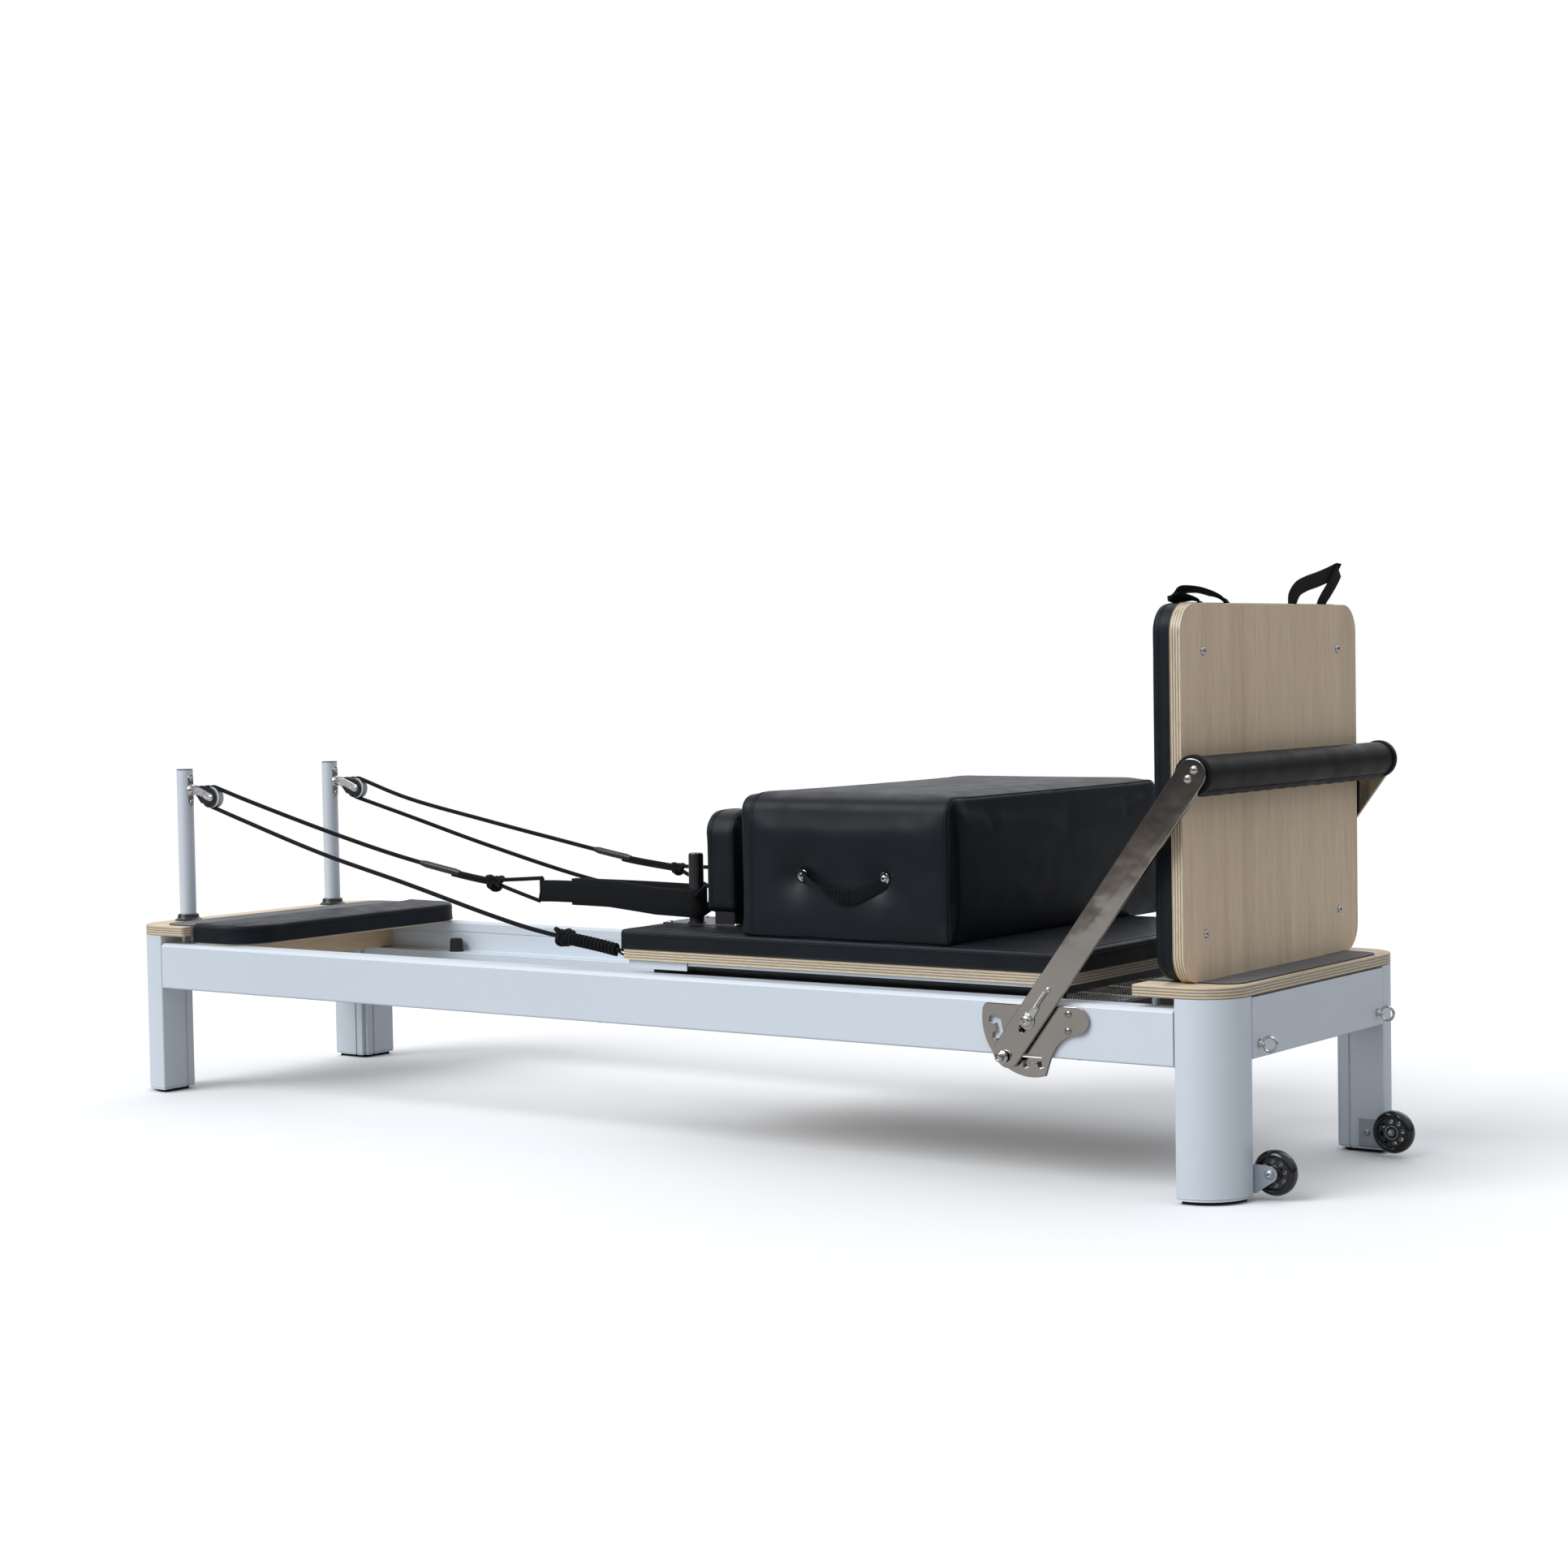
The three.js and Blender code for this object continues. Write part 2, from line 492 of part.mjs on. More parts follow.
function springs() {
  const halfSpan = FRAME.halfWidth - RAIL.width - GAP;
  add('spring_bar', block(SPRING.frameBar, [-halfSpan, halfSpan], [SPRING.z - 15, SPRING.z + 15]),
    MATERIALS.blackSteel);
  SPRING.y.forEach((y, i) => {
    add(`spring_${i + 1}`, rod('x', [0, y, SPRING.z], SPRING.radius,
      SPRING.hookBar[1] + GAP, SPRING.frameBar[0] - GAP, 12), MATERIALS.steel);
  });
}

// ---------------------------------------------------------------- footbar
function quadrants() {
  const { rim, top, lobe, lobeX, lobeZ } = QUADRANT;
  const shape = new THREE.Shape();
  shape.moveTo(10 - rim, top);
  shape.lineTo(-rim, 8);
  shape.absarc(0, 0, rim, rad(180), rad(286), false);
  shape.bezierCurveTo(34, -58, 40, -27, 78, -18.4);
  shape.absarc(lobeX, lobeZ, lobe, rad(-88), rad(88), false);
  const band = new THREE.Shape();
  const half = LOCK.slotWidth / 2;
  band.absarc(0, 0, LOCK.slotRadius + half, rad(LOCK.first), rad(LOCK.last), false);
  band.absarc(0, 0, LOCK.slotRadius - half, rad(LOCK.last), rad(LOCK.first), true);
  const place = (geometry) => geometry.translate(PIVOT.x, 0, PIVOT.z);
  const thick = [-QUADRANT.outer, -QUADRANT.inner];
  const through = (cutShape, segments) => place(across(cutShape, thick[0] - 1, thick[1] + 1, segments));
  const notches = LOCK_NOTCHES.map((angle) => {
    const at = (r) => [r * Math.cos(rad(angle)), r * Math.sin(rad(angle))];
    return through(capsule(at(LOCK.slotRadius), at(LOCK.notchRadius), half), 5);
  });
  const plate = cut(place(across(shape, ...thick, 14)), through(band, 14), ...notches);
  const hub = [PIVOT.x, 0, PIVOT.z];
  const headFace = ARM.outer + HUB.thickness + 2 * GAP;
  addPair('quadrant', join(plate,
    rod('y', hub, PIVOT.head, -QUADRANT.outer - 3.2, -QUADRANT.outer + 1),
    rod('y', hub, PIVOT.pin, -headFace - 1, -QUADRANT.outer),
    rod('y', hub, PIVOT.head, -headFace - 4, -headFace),
  ), MATERIALS.steel);
}

function footbar() {
  const half = ARM.width / 2;
  const shape = new THREE.Shape();
  shape.moveTo(-ARM.tail + ARM.corner, -half);
  shape.absarc(ARM.length + 2, 0, half, rad(-90), rad(90), false);
  shape.lineTo(-ARM.tail + ARM.corner, half);
  shape.absarc(-ARM.tail + ARM.corner, half - ARM.corner, ARM.corner, rad(90), rad(180), false);
  shape.absarc(-ARM.tail + ARM.corner, ARM.corner - half, ARM.corner, rad(180), rad(270), false);
  const turn = -rad(ARM.elevation);
  const place = (geometry) => geometry.rotateY(turn).translate(PIVOT.x, 0, PIVOT.z);
  const arm = place(across(shape, -ARM.outer, -ARM.inner, 8));
  const slot = place(across(capsule([-PIVOT.slot, 0], [0, 0], PIVOT.hole), -ARM.outer - 1, -ARM.inner + 1, 12));
  const lockPin = place(rod('y', [-LOCK_PIN.reach, 0, 0], LOCK_PIN.radius, -LOCK_PIN.end, -ARM.inner));
  addPair('footbar_arm', join(cut(arm, slot), lockPin), MATERIALS.steel);

  const face = [-ARM.outer - GAP - HUB.thickness, -ARM.outer - GAP];
  const disc = rod('y', [0, 0, 0], HUB.radius, ...face);
  const tab = block([0, HUB.tab], face, [-HUB.tabWidth / 2, HUB.tabWidth / 2]);
  const bore = rod('y', [0, 0, 0], PIVOT.hole, face[0] - 1, face[1] + 1);
  addPair('footbar_hub', place(cut(join(disc, tab), bore)), MATERIALS.steel);
  const gripX = PIVOT.x + ARM.length * Math.cos(rad(ARM.elevation));
  const gripZ = PIVOT.z + ARM.length * Math.sin(rad(ARM.elevation));
  add('footbar_grip', rod('y', [gripX, 0, gripZ], GRIP.radius, -ARM.inner + GAP, ARM.inner - GAP, 32),
    MATERIALS.leather);
}

// ---------------------------------------------------------------- box and jump board
function sittingBox() {
  const { near, far, corner, bevel } = BOX;
  const outline = roundedRectangle([near, far], [CARRIAGE.padTop + GAP, BOX.top], corner);
  add('box', along(outline, BOX.back, BOX.front, 6, bevel), MATERIALS.leather);
}

function jumpBoard() {
  const deckTop = LEG.top + DECK.thickness;
  const { halfWidth, top, corner, padInset } = BOARD;
  const face = roundedRectangle([-halfWidth, halfWidth], [deckTop + GAP, top], corner);
  const tongues = [-1, 1].map((side) => block([BOARD.back, BOARD.front],
    [side * TONGUE.inner, side * TONGUE.outer].sort((a, b) => a - b), [TONGUE.bottom, deckTop + 20]));
  add('jump_board', join(along(face, BOARD.back, BOARD.front, 8), ...tongues), MATERIALS.laminate);
  const pad = roundedRectangle([padInset - halfWidth, halfWidth - padInset],
    [deckTop + 2, top - padInset], corner);
  add('jump_board_pad', along(pad, BOARD.padBack, BOARD.back - GAP, 8, 4), MATERIALS.leather);
}

// The webbing handles over the board's top edge: the near one has flopped back, the far one stands.
function handles() {
  const outline = (feet, crown, height) => polygon([
    [feet[0], 0], [crown[0], height], [crown[1], height], [feet[1], 0],
  ]);
  const band = HANDLE.webbing;
  const inner = (feet, crown, height) => polygon([
    [feet[0] + band, 0], [crown[0] + band, height - band], [crown[1] - 1.9 * band, height - band],
    [feet[1] - band, 0],
  ]);
  const arch = (feet, crown, height) => cut(
    along(outline(feet, crown, height), 0, HANDLE.thickness),
    along(inner(feet, crown, height), -1, HANDLE.thickness + 1).translate(0, 0, -0.1));
  const place = (geometry) => geometry.translate(HANDLE.x, 0, BOARD.top + GAP);
  add('handle_near', place(arch([-262, -149], [-255, -165], 52).rotateY(rad(-65))), MATERIALS.webbing);
  add('handle_far', place(arch([68, 187], [110, 250], 58)), MATERIALS.webbing);
}

legs();
rails();
decks();
headEnd();
footEnd();
transportWheels();
pulleys();
ropesAndStraps();
carriage();
shoulderRests();
springs();
quadrants();
footbar();
sittingBox();
jumpBoard();
handles();

export default group;
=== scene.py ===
"""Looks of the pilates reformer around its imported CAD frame. Pieces are drawn in millimetres from the bed's
centre plane (+X to the foot end, -Y the near side, +Z up) and become metres in the row frame when made."""
import math

import bmesh
import bpy
from mathutils import Matrix, Vector
from mathutils.bvhtree import BVHTree


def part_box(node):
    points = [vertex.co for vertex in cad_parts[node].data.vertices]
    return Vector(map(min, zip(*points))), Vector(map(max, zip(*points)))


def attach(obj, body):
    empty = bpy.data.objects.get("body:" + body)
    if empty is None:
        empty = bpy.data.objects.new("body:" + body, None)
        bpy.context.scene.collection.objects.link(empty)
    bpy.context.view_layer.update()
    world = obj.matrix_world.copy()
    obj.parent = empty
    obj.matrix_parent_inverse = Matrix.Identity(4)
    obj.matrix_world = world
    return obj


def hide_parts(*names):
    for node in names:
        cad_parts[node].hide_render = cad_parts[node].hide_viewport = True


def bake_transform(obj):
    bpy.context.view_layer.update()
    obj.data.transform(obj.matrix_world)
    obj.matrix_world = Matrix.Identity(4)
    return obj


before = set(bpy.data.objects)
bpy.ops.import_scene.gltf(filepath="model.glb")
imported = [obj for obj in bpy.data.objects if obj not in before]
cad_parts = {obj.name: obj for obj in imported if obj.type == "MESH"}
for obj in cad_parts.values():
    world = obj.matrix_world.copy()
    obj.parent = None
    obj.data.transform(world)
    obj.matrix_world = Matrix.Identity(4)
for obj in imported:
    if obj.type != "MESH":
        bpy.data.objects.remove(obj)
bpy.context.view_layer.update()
MM = 0.001
SIDES = {"near": -1, "far": 1}


# ---------------------------------------------------------------- plain geometry
def bed_centre():
    """How far the bed's centre plane lies from the row frame's, which is centred on the whole object."""
    near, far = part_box("side_rail_near"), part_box("side_rail_far")
    return Vector((0, (near[0].y + far[1].y) / 2, 0))


CENTRE = bed_centre()


def span(node):
    """A CAD node's lowest and highest corners in millimetres from the bed's centre plane."""
    low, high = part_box(node)
    return (low - CENTRE) / MM, (high - CENTRE) / MM


def metres(point):
    """A point in millimetres from the bed's centre plane, in the row frame."""
    return Vector(point) * MM + CENTRE


def millimetres(point):
    return (point - CENTRE) / MM


def arc(cx, cy, radius, start, end, count):
    """Points of an arc, both ends included, angles in degrees."""
    angles = [math.radians(start + (end - start) * i / count) for i in range(count + 1)]
    return [(cx + radius * math.cos(t), cy + radius * math.sin(t)) for t in angles]


def circle(cx, cy, radius, count):
    return arc(cx, cy, radius, 0, 360, count)[:-1]


def rounded(a0, a1, b0, b1, radii, count):
    """A rectangle whose corners (low-low, high-low, high-high, low-high) have their own radii."""
    radii = radii if isinstance(radii, (list, tuple)) else [radii] * 4
    corners = ((a0, b0, 1, 1, 180), (a1, b0, -1, 1, 270), (a1, b1, -1, -1, 0), (a0, b1, 1, -1, 90))
    out = []
    for r, (a, b, inward_a, inward_b, start) in zip(radii, corners):
        out += arc(a + inward_a * r, b + inward_b * r, r, start, start + 90, count)
    return out


def capsule(a, b, radius, count):
    """The outline of a slot from a to b."""
    turn = math.degrees(math.atan2(b[1] - a[1], b[0] - a[0]))
    return arc(*b, radius, turn - 90, turn + 90, count) + arc(*a, radius, turn + 90, turn + 270, count)


def lay(a, b, h, plane):
    """A point of an outline (a, b) at height h: plane z is drawn in X-Y, y in X-Z and x in Y-Z."""
    return {"z": (a, b, h), "y": (a, h, b), "x": (h, a, b)}[plane]


def raised(outline, height, plane):
    """An outline's points in space."""
    return [lay(a, b, height, plane) for a, b in outline]


def full_turn(count):
    """The angles of a full turn in count steps."""
    return [2 * math.pi * k / count for k in range(count)]


def skin(bm, rows, closed=False):
    """Faces between neighbouring rows of corners, and from the last row to the first where closed."""
    for a, b in zip(rows, rows[1:] + rows[:1] if closed else rows[1:]):
        for k in range(len(a)):
            j = (k + 1) % len(a)
            corners = list(dict.fromkeys((a[k], a[j], b[j], b[k])))
            if len(corners) > 2:
                bm.faces.new(corners)


def outward(bm):
    bmesh.ops.recalc_face_normals(bm, faces=bm.faces)
    return bm


def prism(outline, low, high, plane, bevel, segments=2):
    """A solid of one outline, with its rims rounded by bevel."""
    bm = bmesh.new()
    rings = [[bm.verts.new(point) for point in raised(outline, h, plane)] for h in (low, high)]
    caps = [bm.faces.new(ring) for ring in rings]
    skin(bm, rings)
    bmesh.ops.remove_doubles(bm, verts=bm.verts, dist=0.001)
    rims = list(dict.fromkeys(edge for face in caps if face.is_valid for edge in face.edges))
    bmesh.ops.bevel(bm, geom=rims, offset=bevel, segments=segments, profile=0.5, affect="EDGES",
                    clamp_overlap=True)
    return outward(bm)


def pierced(outlines, low, high, plane, bevel):
    """A plate with holes, from its outer outline and the outlines of its holes."""
    curve = bpy.data.curves.new("plate", "CURVE")
    curve.dimensions = "2D"
    curve.fill_mode = "BOTH"
    curve.extrude = (high - low) / 2 - bevel
    curve.bevel_depth = bevel
    curve.bevel_resolution = 1
    curve.offset = -bevel
    for outline in outlines:
        line = curve.splines.new("POLY")
        line.points.add(len(outline) - 1)
        for point, (a, b) in zip(line.points, outline):
            point.co = (a, b, 0, 1)
        line.use_cyclic_u = True
    holder = bpy.data.objects.new("plate", curve)
    bpy.context.scene.collection.objects.link(holder)
    mesh = bpy.data.meshes.new_from_object(holder.evaluated_get(bpy.context.evaluated_depsgraph_get()))
    bpy.data.objects.remove(holder)
    bpy.data.curves.remove(curve)
    bm = bmesh.new()
    bm.from_mesh(mesh)
    bpy.data.meshes.remove(mesh)
    bmesh.ops.remove_doubles(bm, verts=bm.verts, dist=0.002)
    middle = (low + high) / 2
    for v in bm.verts:
        v.co = lay(v.co.x, v.co.y, v.co.z + middle, plane)
    return outward(bm)


TURNS = {
    "x": Matrix(((0, 0, 1), (1, 0, 0), (0, 1, 0))),
    "y": Matrix(((0, 1, 0), (0, 0, 1), (1, 0, 0))),
    "z": Matrix.Identity(3),
    "-x": Matrix(((0, 0, -1), (0, 1, 0), (1, 0, 0))),
    "-y": Matrix(((1, 0, 0), (0, 0, -1), (0, 1, 0))),
    "-z": Matrix(((0, 1, 0), (1, 0, 0), (0, 0, -1))),
}


def lathe(profile, centre, axis, segments, ring=False, hexed=()):
    """A turned solid from its (radius, height) profile; rows named in hexed are hexagons."""
    bm = bmesh.new()
    turn, middle = TURNS[axis], Vector(centre)
    rows = []
    for index, (radius, height) in enumerate(profile):
        if radius < 1e-6:
            rows.append([bm.verts.new(turn @ Vector((0, 0, height)) + middle)] * segments)
            continue
        row = []
        for t in full_turn(segments):
            r = radius
            if index in hexed:
                r *= math.cos(math.pi / 6) / math.cos((t % (math.pi / 3)) - math.pi / 6)
            row.append(bm.verts.new(turn @ Vector((r * math.cos(t), r * math.sin(t), height)) + middle))
        rows.append(row)
    skin(bm, rows, ring)
    return outward(bm)


def both_ways(half, low, high, middle=()):
    """A turned profile that is the same from both ends; half has (radius, distance in from the end)."""
    return [(r, low + d) for r, d in half] + [*middle] + [(r, high - d) for r, d in reversed(half)]


def frames(points, closed=False):
    """Tangent and two normals at each point, carried along without twist."""
    count = len(points)
    tangents = []
    for i in range(count):
        before = points[(i - 1) % count] if closed or i else points[0]
        after = points[(i + 1) % count] if closed or i < count - 1 else points[-1]
        tangents.append((after - before).normalized())
    start = Vector((0, 0, 1)) if abs(tangents[0].z) < 0.9 else Vector((0, 1, 0))
    normal = (start - tangents[0] * start.dot(tangents[0])).normalized()
    out = []
    for tangent in tangents:
        normal = (normal - tangent * normal.dot(tangent)).normalized()
        out.append((tangent, normal, tangent.cross(normal)))
    return out


def capped(bm, rows):
    """Skins rows of corners and closes both ends."""
    skin(bm, rows)
    bm.faces.new(rows[0])
    bm.faces.new(rows[-1])


def tube(points, radius, sides, closed=False):
    """A round tube along points; radius is a number or a function of (index, angle, length so far)."""
    points = [Vector(p) for p in points]
    bm = bmesh.new()
    rows, length = [], 0.0
    for i, (point, (_, n, b)) in enumerate(zip(points, frames(points, closed))):
        length += (point - points[i - 1]).length if i else 0
        row = []
        for t in full_turn(sides):
            r = radius(i, t, length) if callable(radius) else radius
            row.append(bm.verts.new(point + (n * math.cos(t) + b * math.sin(t)) * r))
        rows.append(row)
    if closed:
        skin(bm, rows, True)
    else:
        capped(bm, rows)
    return outward(bm)


def ribbon(points, across, width, thickness):
    """Flat webbing along points; across is its width's direction, one vector or one for each point."""
    points = [Vector(p) for p in points]
    bm = bmesh.new()
    half, thin = width / 2, thickness / 2
    soft = min(thin * 0.8, 1.0)
    top = [(half, thin - soft), (half - soft, thin), (half * 0.33, thin)]
    section = top + [(-a, b) for a, b in reversed(top)]
    section += [(-a, -b) for a, b in section]
    rows = []
    for i, (point, (tangent, _, _)) in enumerate(zip(points, frames(points))):
        wide = Vector(across[i] if isinstance(across, list) else across)
        wide = (wide - tangent * wide.dot(tangent)).normalized()
        up = tangent.cross(wide)
        rows.append([bm.verts.new(point + wide * a + up * b) for a, b in section])
    capped(bm, rows)
    return outward(bm)


def spline(points, step):
    """A centripetal curve through points, with a point about every step."""
    points = [Vector(p) for p in points]
    padded = [points[0] * 2 - points[1], *points, points[-1] * 2 - points[-2]]
    out = []
    for p0, p1, p2, p3 in zip(padded, padded[1:], padded[2:], padded[3:]):
        d0, d1, d2 = (max((b - a).length ** 0.5, 1e-4) for a, b in ((p0, p1), (p1, p2), (p2, p3)))
        t1 = ((p1 - p0) / d0 - (p2 - p0) / (d0 + d1) + (p2 - p1) / d1) * d1
        t2 = ((p2 - p1) / d1 - (p3 - p1) / (d1 + d2) + (p3 - p2) / d2) * d1
        square = -3 * p1 + 3 * p2 - 2 * t1 - t2
        cube = 2 * p1 - 2 * p2 + t1 + t2
        count = max(1, round((p2 - p1).length / step))
        for t in (i / count for i in range(count)):
            out.append(p1 + t1 * t + square * t ** 2 + cube * t ** 3)
    return out + [points[-1]]


def helix(path, radius, turns, per_turn):
    """Points of a coil wound round a path."""
    steps = int(turns * per_turn)
    lengths = [0.0]
    for a, b in zip(path, path[1:]):
        lengths.append(lengths[-1] + (b - a).length)
    around = frames(path)
    out = []
    j = 0
    for i in range(steps + 1):
        s = lengths[-1] * i / steps
        while j < len(path) - 2 and lengths[j + 1] < s:
            j += 1
        f = (s - lengths[j]) / max(lengths[j + 1] - lengths[j], 1e-9)
        centre = path[j].lerp(path[j + 1], min(1, f))
        t = 2 * math.pi * turns * i / steps
        out.append(centre + (around[j][1] * math.cos(t) + around[j][2] * math.sin(t)) * radius)
    return out


def merged(*parts):
    """Several solids as one mesh."""
    out = bmesh.new()
    for bm in parts:
        mesh = bpy.data.meshes.new("part")
        bm.to_mesh(mesh)
        bm.free()
        out.from_mesh(mesh)
        bpy.data.meshes.remove(mesh)
    return out


def edged(bm, axis):
    """A board's second material, its plies, on the faces that don't look along axis."""
    bm.normal_update()
    for face in bm.faces:
        if abs(face.normal[axis]) < 0.8:
            face.material_index = 1
    return bm


def mirrored(bm, axis=1, plane=0.0):
    """The same shape on the other side of a plane, which is the centre plane unless another is given."""
    copy = bm.copy()
    for v in copy.verts:
        v.co[axis] = 2 * plane - v.co[axis]
    bmesh.ops.reverse_faces(copy, faces=copy.faces)
    return copy


def stops(length, low, high, step, edge):
    """Grid places along a side that has corner radii low and high and a rim radius edge."""
    marks = sorted({0.0, edge, low, length - high, length - edge, length})
    out = [0.0]
    for a, b in zip(marks, marks[1:]):
        if b - a < 0.01:
            continue
        fine = a < low - 0.01 or b > length - high + 0.01
        count = max(3 if b - a <= edge + 0.01 else 1, math.ceil((b - a) / (step * 0.6 if fine else step)))
        out += [a + (b - a) * (i + 1) / count for i in range(count)]
    return out


def on_plan(a, b, box, corners):
    """Moves a point of a rectangle into its rounded plan: the point, its outward normal and its inset."""
    a0, b0, a1, b1 = box
    cases = zip(((a0, b0, 1, 1), (a1, b0, -1, 1), (a1, b1, -1, -1), (a0, b1, 1, -1)), corners)
    for (ca, cb, sa, sb), radius in cases:
        u, v = radius - (a - ca) * sa, radius - (b - cb) * sb
        if u > 1e-6 and v > 1e-6:
            scale = max(u, v) / math.hypot(u, v)
            u, v = u * scale, v * scale
            size = math.hypot(u, v)
            normal = (-u * sa / size, -v * sb / size)
            return ca + (radius - u) * sa, cb + (radius - v) * sb, normal, radius - size
    inset, normal = min((a - a0, (-1, 0)), (a1 - a, (1, 0)), (b - b0, (0, -1)), (b1 - b, (0, 1)))
    return a, b, normal, inset


def slab(low, high, corners, rims, step, plane="z"):
    """A closed cushion form of quads: a rounded plan, drawn as lay() says, and rounded rims (low, high)."""
    order = {"z": (0, 1, 2), "x": (1, 2, 0)}[plane]
    (a0, b0, h0), (a1, b1, h1) = ([v[i] for i in order] for v in (low, high))
    edge = max(rims)
    reach = [max(corners[i], corners[j], edge) for i, j in ((0, 3), (1, 2), (0, 1), (2, 3))]
    grid_a = stops(a1 - a0, reach[0], reach[1], step, edge)
    grid_b = stops(b1 - b0, reach[2], reach[3], step, edge)
    depth = h1 - h0
    side = depth - rims[0] - rims[1]
    rows = max(2, round(side / (step * 1.5)))
    grid_h = sorted({0.0, rims[0] / 3, rims[0] * 2 / 3, depth - rims[1] * 2 / 3, depth - rims[1] / 3, depth,
                     *(rims[0] + side * i / rows for i in range(rows + 1))})
    bm = bmesh.new()
    made = {}

    def corner(i, j, k):
        if (i, j, k) not in made:
            a, b, normal, inset = on_plan(a0 + grid_a[i], b0 + grid_b[j], (a0, b0, a1, b1), corners)
            h = h0 + grid_h[k]
            for rim, deep, sign in ((rims[0], h - h0, 1), (rims[1], h1 - h, -1)):
                if rim > 0 and inset < rim and deep < rim:
                    out_a, out_h = rim - inset, rim - deep
                    pull = 1 - max(out_a, out_h) / max(math.hypot(out_a, out_h), 1e-9)
                    a -= normal[0] * out_a * pull
                    b -= normal[1] * out_a * pull
                    h += sign * out_h * pull
            made[i, j, k] = bm.verts.new(lay(a, b, h, plane))
        return made[i, j, k]

    def quad(*places):
        bm.faces.new([corner(*place) for place in places])

    na, nb, nh = len(grid_a) - 1, len(grid_b) - 1, len(grid_h) - 1
    for i in range(na):
        for j in range(nb):
            for k in (0, nh):
                quad((i, j, k), (i + 1, j, k), (i + 1, j + 1, k), (i, j + 1, k))
    for k in range(nh):
        for i in range(na):
            for j in (0, nb):
                quad((i, j, k), (i + 1, j, k), (i + 1, j, k + 1), (i, j, k + 1))
        for j in range(nb):
            for i in (0, na):
                quad((i, j, k), (i, j + 1, k), (i, j + 1, k + 1), (i, j, k + 1))
    return outward(bm)


# ---------------------------------------------------------------- materials
class Surface:
    """A procedural material: a Principled shader and the few node patterns that the pieces need."""

    def __init__(self, name, color, roughness, metallic=0.0, **extra):
        self.material = bpy.data.materials.new(name)
        self.material.use_nodes = True
        self.tree = self.material.node_tree
        self.shader = self.tree.nodes["Principled BSDF"]
        self.color = color
        self.place = self.node("ShaderNodeTexCoord").outputs["Object"]
        settings = {"Base Color": (*color, 1), "Roughness": roughness, "Metallic": metallic, **extra}
        for key, value in settings.items():
            self.shader.inputs[key.replace("_", " ")].default_value = value

    def node(self, kind, **settings):
        made = self.tree.nodes.new(kind)
        for key, value in settings.items():
            setattr(made, key, value)
        return made

    def link(self, source, target):
        self.tree.links.new(source, target)

    def noise(self, scale, detail, stretch=(1, 1, 1)):
        mapping = self.node("ShaderNodeMapping")
        mapping.inputs["Scale"].default_value = stretch
        self.link(self.place, mapping.inputs["Vector"])
        made = self.node("ShaderNodeTexNoise")
        made.inputs["Scale"].default_value = scale
        made.inputs["Detail"].default_value = detail
        self.link(mapping.outputs["Vector"], made.inputs["Vector"])
        return made.outputs["Fac"]

    def cells(self, scale):
        made = self.node("ShaderNodeTexVoronoi", feature="DISTANCE_TO_EDGE")
        made.inputs["Scale"].default_value = scale
        self.link(self.place, made.inputs["Vector"])
        return made.outputs["Distance"]

    def fed(self, pairs):
        """Gives each socket a number, a colour or another node's output."""
        for socket, value in pairs:
            if isinstance(value, (int, float)):
                socket.default_value = value
            elif isinstance(value, tuple):
                socket.default_value = (*value, 1)
            elif value is not None:
                self.link(value, socket)

    def math(self, operation, a, b=None):
        made = self.node("ShaderNodeMath", operation=operation)
        self.fed(zip(made.inputs, (a, b)))
        return made.outputs[0]

    def ramp(self, fac, steps):
        made = self.node("ShaderNodeValToRGB")
        elements = made.color_ramp.elements
        while len(elements) < len(steps):
            elements.new(0.5)
        for element, (place, color) in zip(elements, steps):
            element.position = place
            element.color = (*color, 1) if isinstance(color, tuple) else (color, color, color, 1)
        self.link(fac, made.inputs["Fac"])
        return made.outputs["Color"]

    def mix(self, fac, a, b, blend="MIX"):
        made = self.node("ShaderNodeMix", data_type="RGBA", blend_type=blend)
        self.fed(((made.inputs[0], fac), (made.inputs[6], a), (made.inputs[7], b)))
        return made.outputs[2]

    def based(self, first, *others):
        """The base colour is the product of these colours."""
        for other in others:
            first = self.mix(1.0, first, other, "MULTIPLY")
        self.link(first, self.shader.inputs["Base Color"])

    def tinted(self, fac, low, high):
        """Varies the base colour between low and high times itself."""
        steps = [(0.25, tuple(c * low for c in self.color)), (0.75, tuple(c * high for c in self.color))]
        self.based(self.ramp(fac, steps))

    def rough(self, fac, low, high):
        self.link(self.ramp(fac, [(0.3, low), (0.7, high)]), self.shader.inputs["Roughness"])

    def bumps(self, *layers):
        """Adds bumps of (height, strength, distance in metres), one over another."""
        normal = None
        for height, strength, distance in layers:
            made = self.node("ShaderNodeBump")
            self.fed(((made.inputs["Strength"], strength), (made.inputs["Distance"], distance),
                      (made.inputs["Height"], height), (made.inputs["Normal"], normal)))
            normal = made.outputs["Normal"]
        self.link(normal, self.shader.inputs["Normal"])


def coated_aluminium():
    s = Surface("aluminium", (0.66, 0.72, 0.785), 0.40, 0.12, Specular_IOR_Level=0.4)
    s.tinted(s.noise(1.6, 4), 0.965, 1.03)
    s.rough(s.noise(40, 4), 0.38, 0.47)
    s.bumps((s.noise(2600, 2), 0.12, 0.00004), (s.noise(90, 2, (0.02, 1, 1)), 0.10, 0.00006))
    return s.material


# One ply and its neighbour, from glue line to glue line.
PLIES = [(0.0, (0.16, 0.115, 0.07)), (0.08, (0.33, 0.25, 0.16)), (0.34, (0.38, 0.295, 0.19)),
         (0.42, (0.66, 0.57, 0.425)), (0.70, (0.72, 0.625, 0.475)), (0.92, (0.62, 0.53, 0.385)),
         (0.98, (0.20, 0.145, 0.09))]
PLY_PERIOD = 0.0045


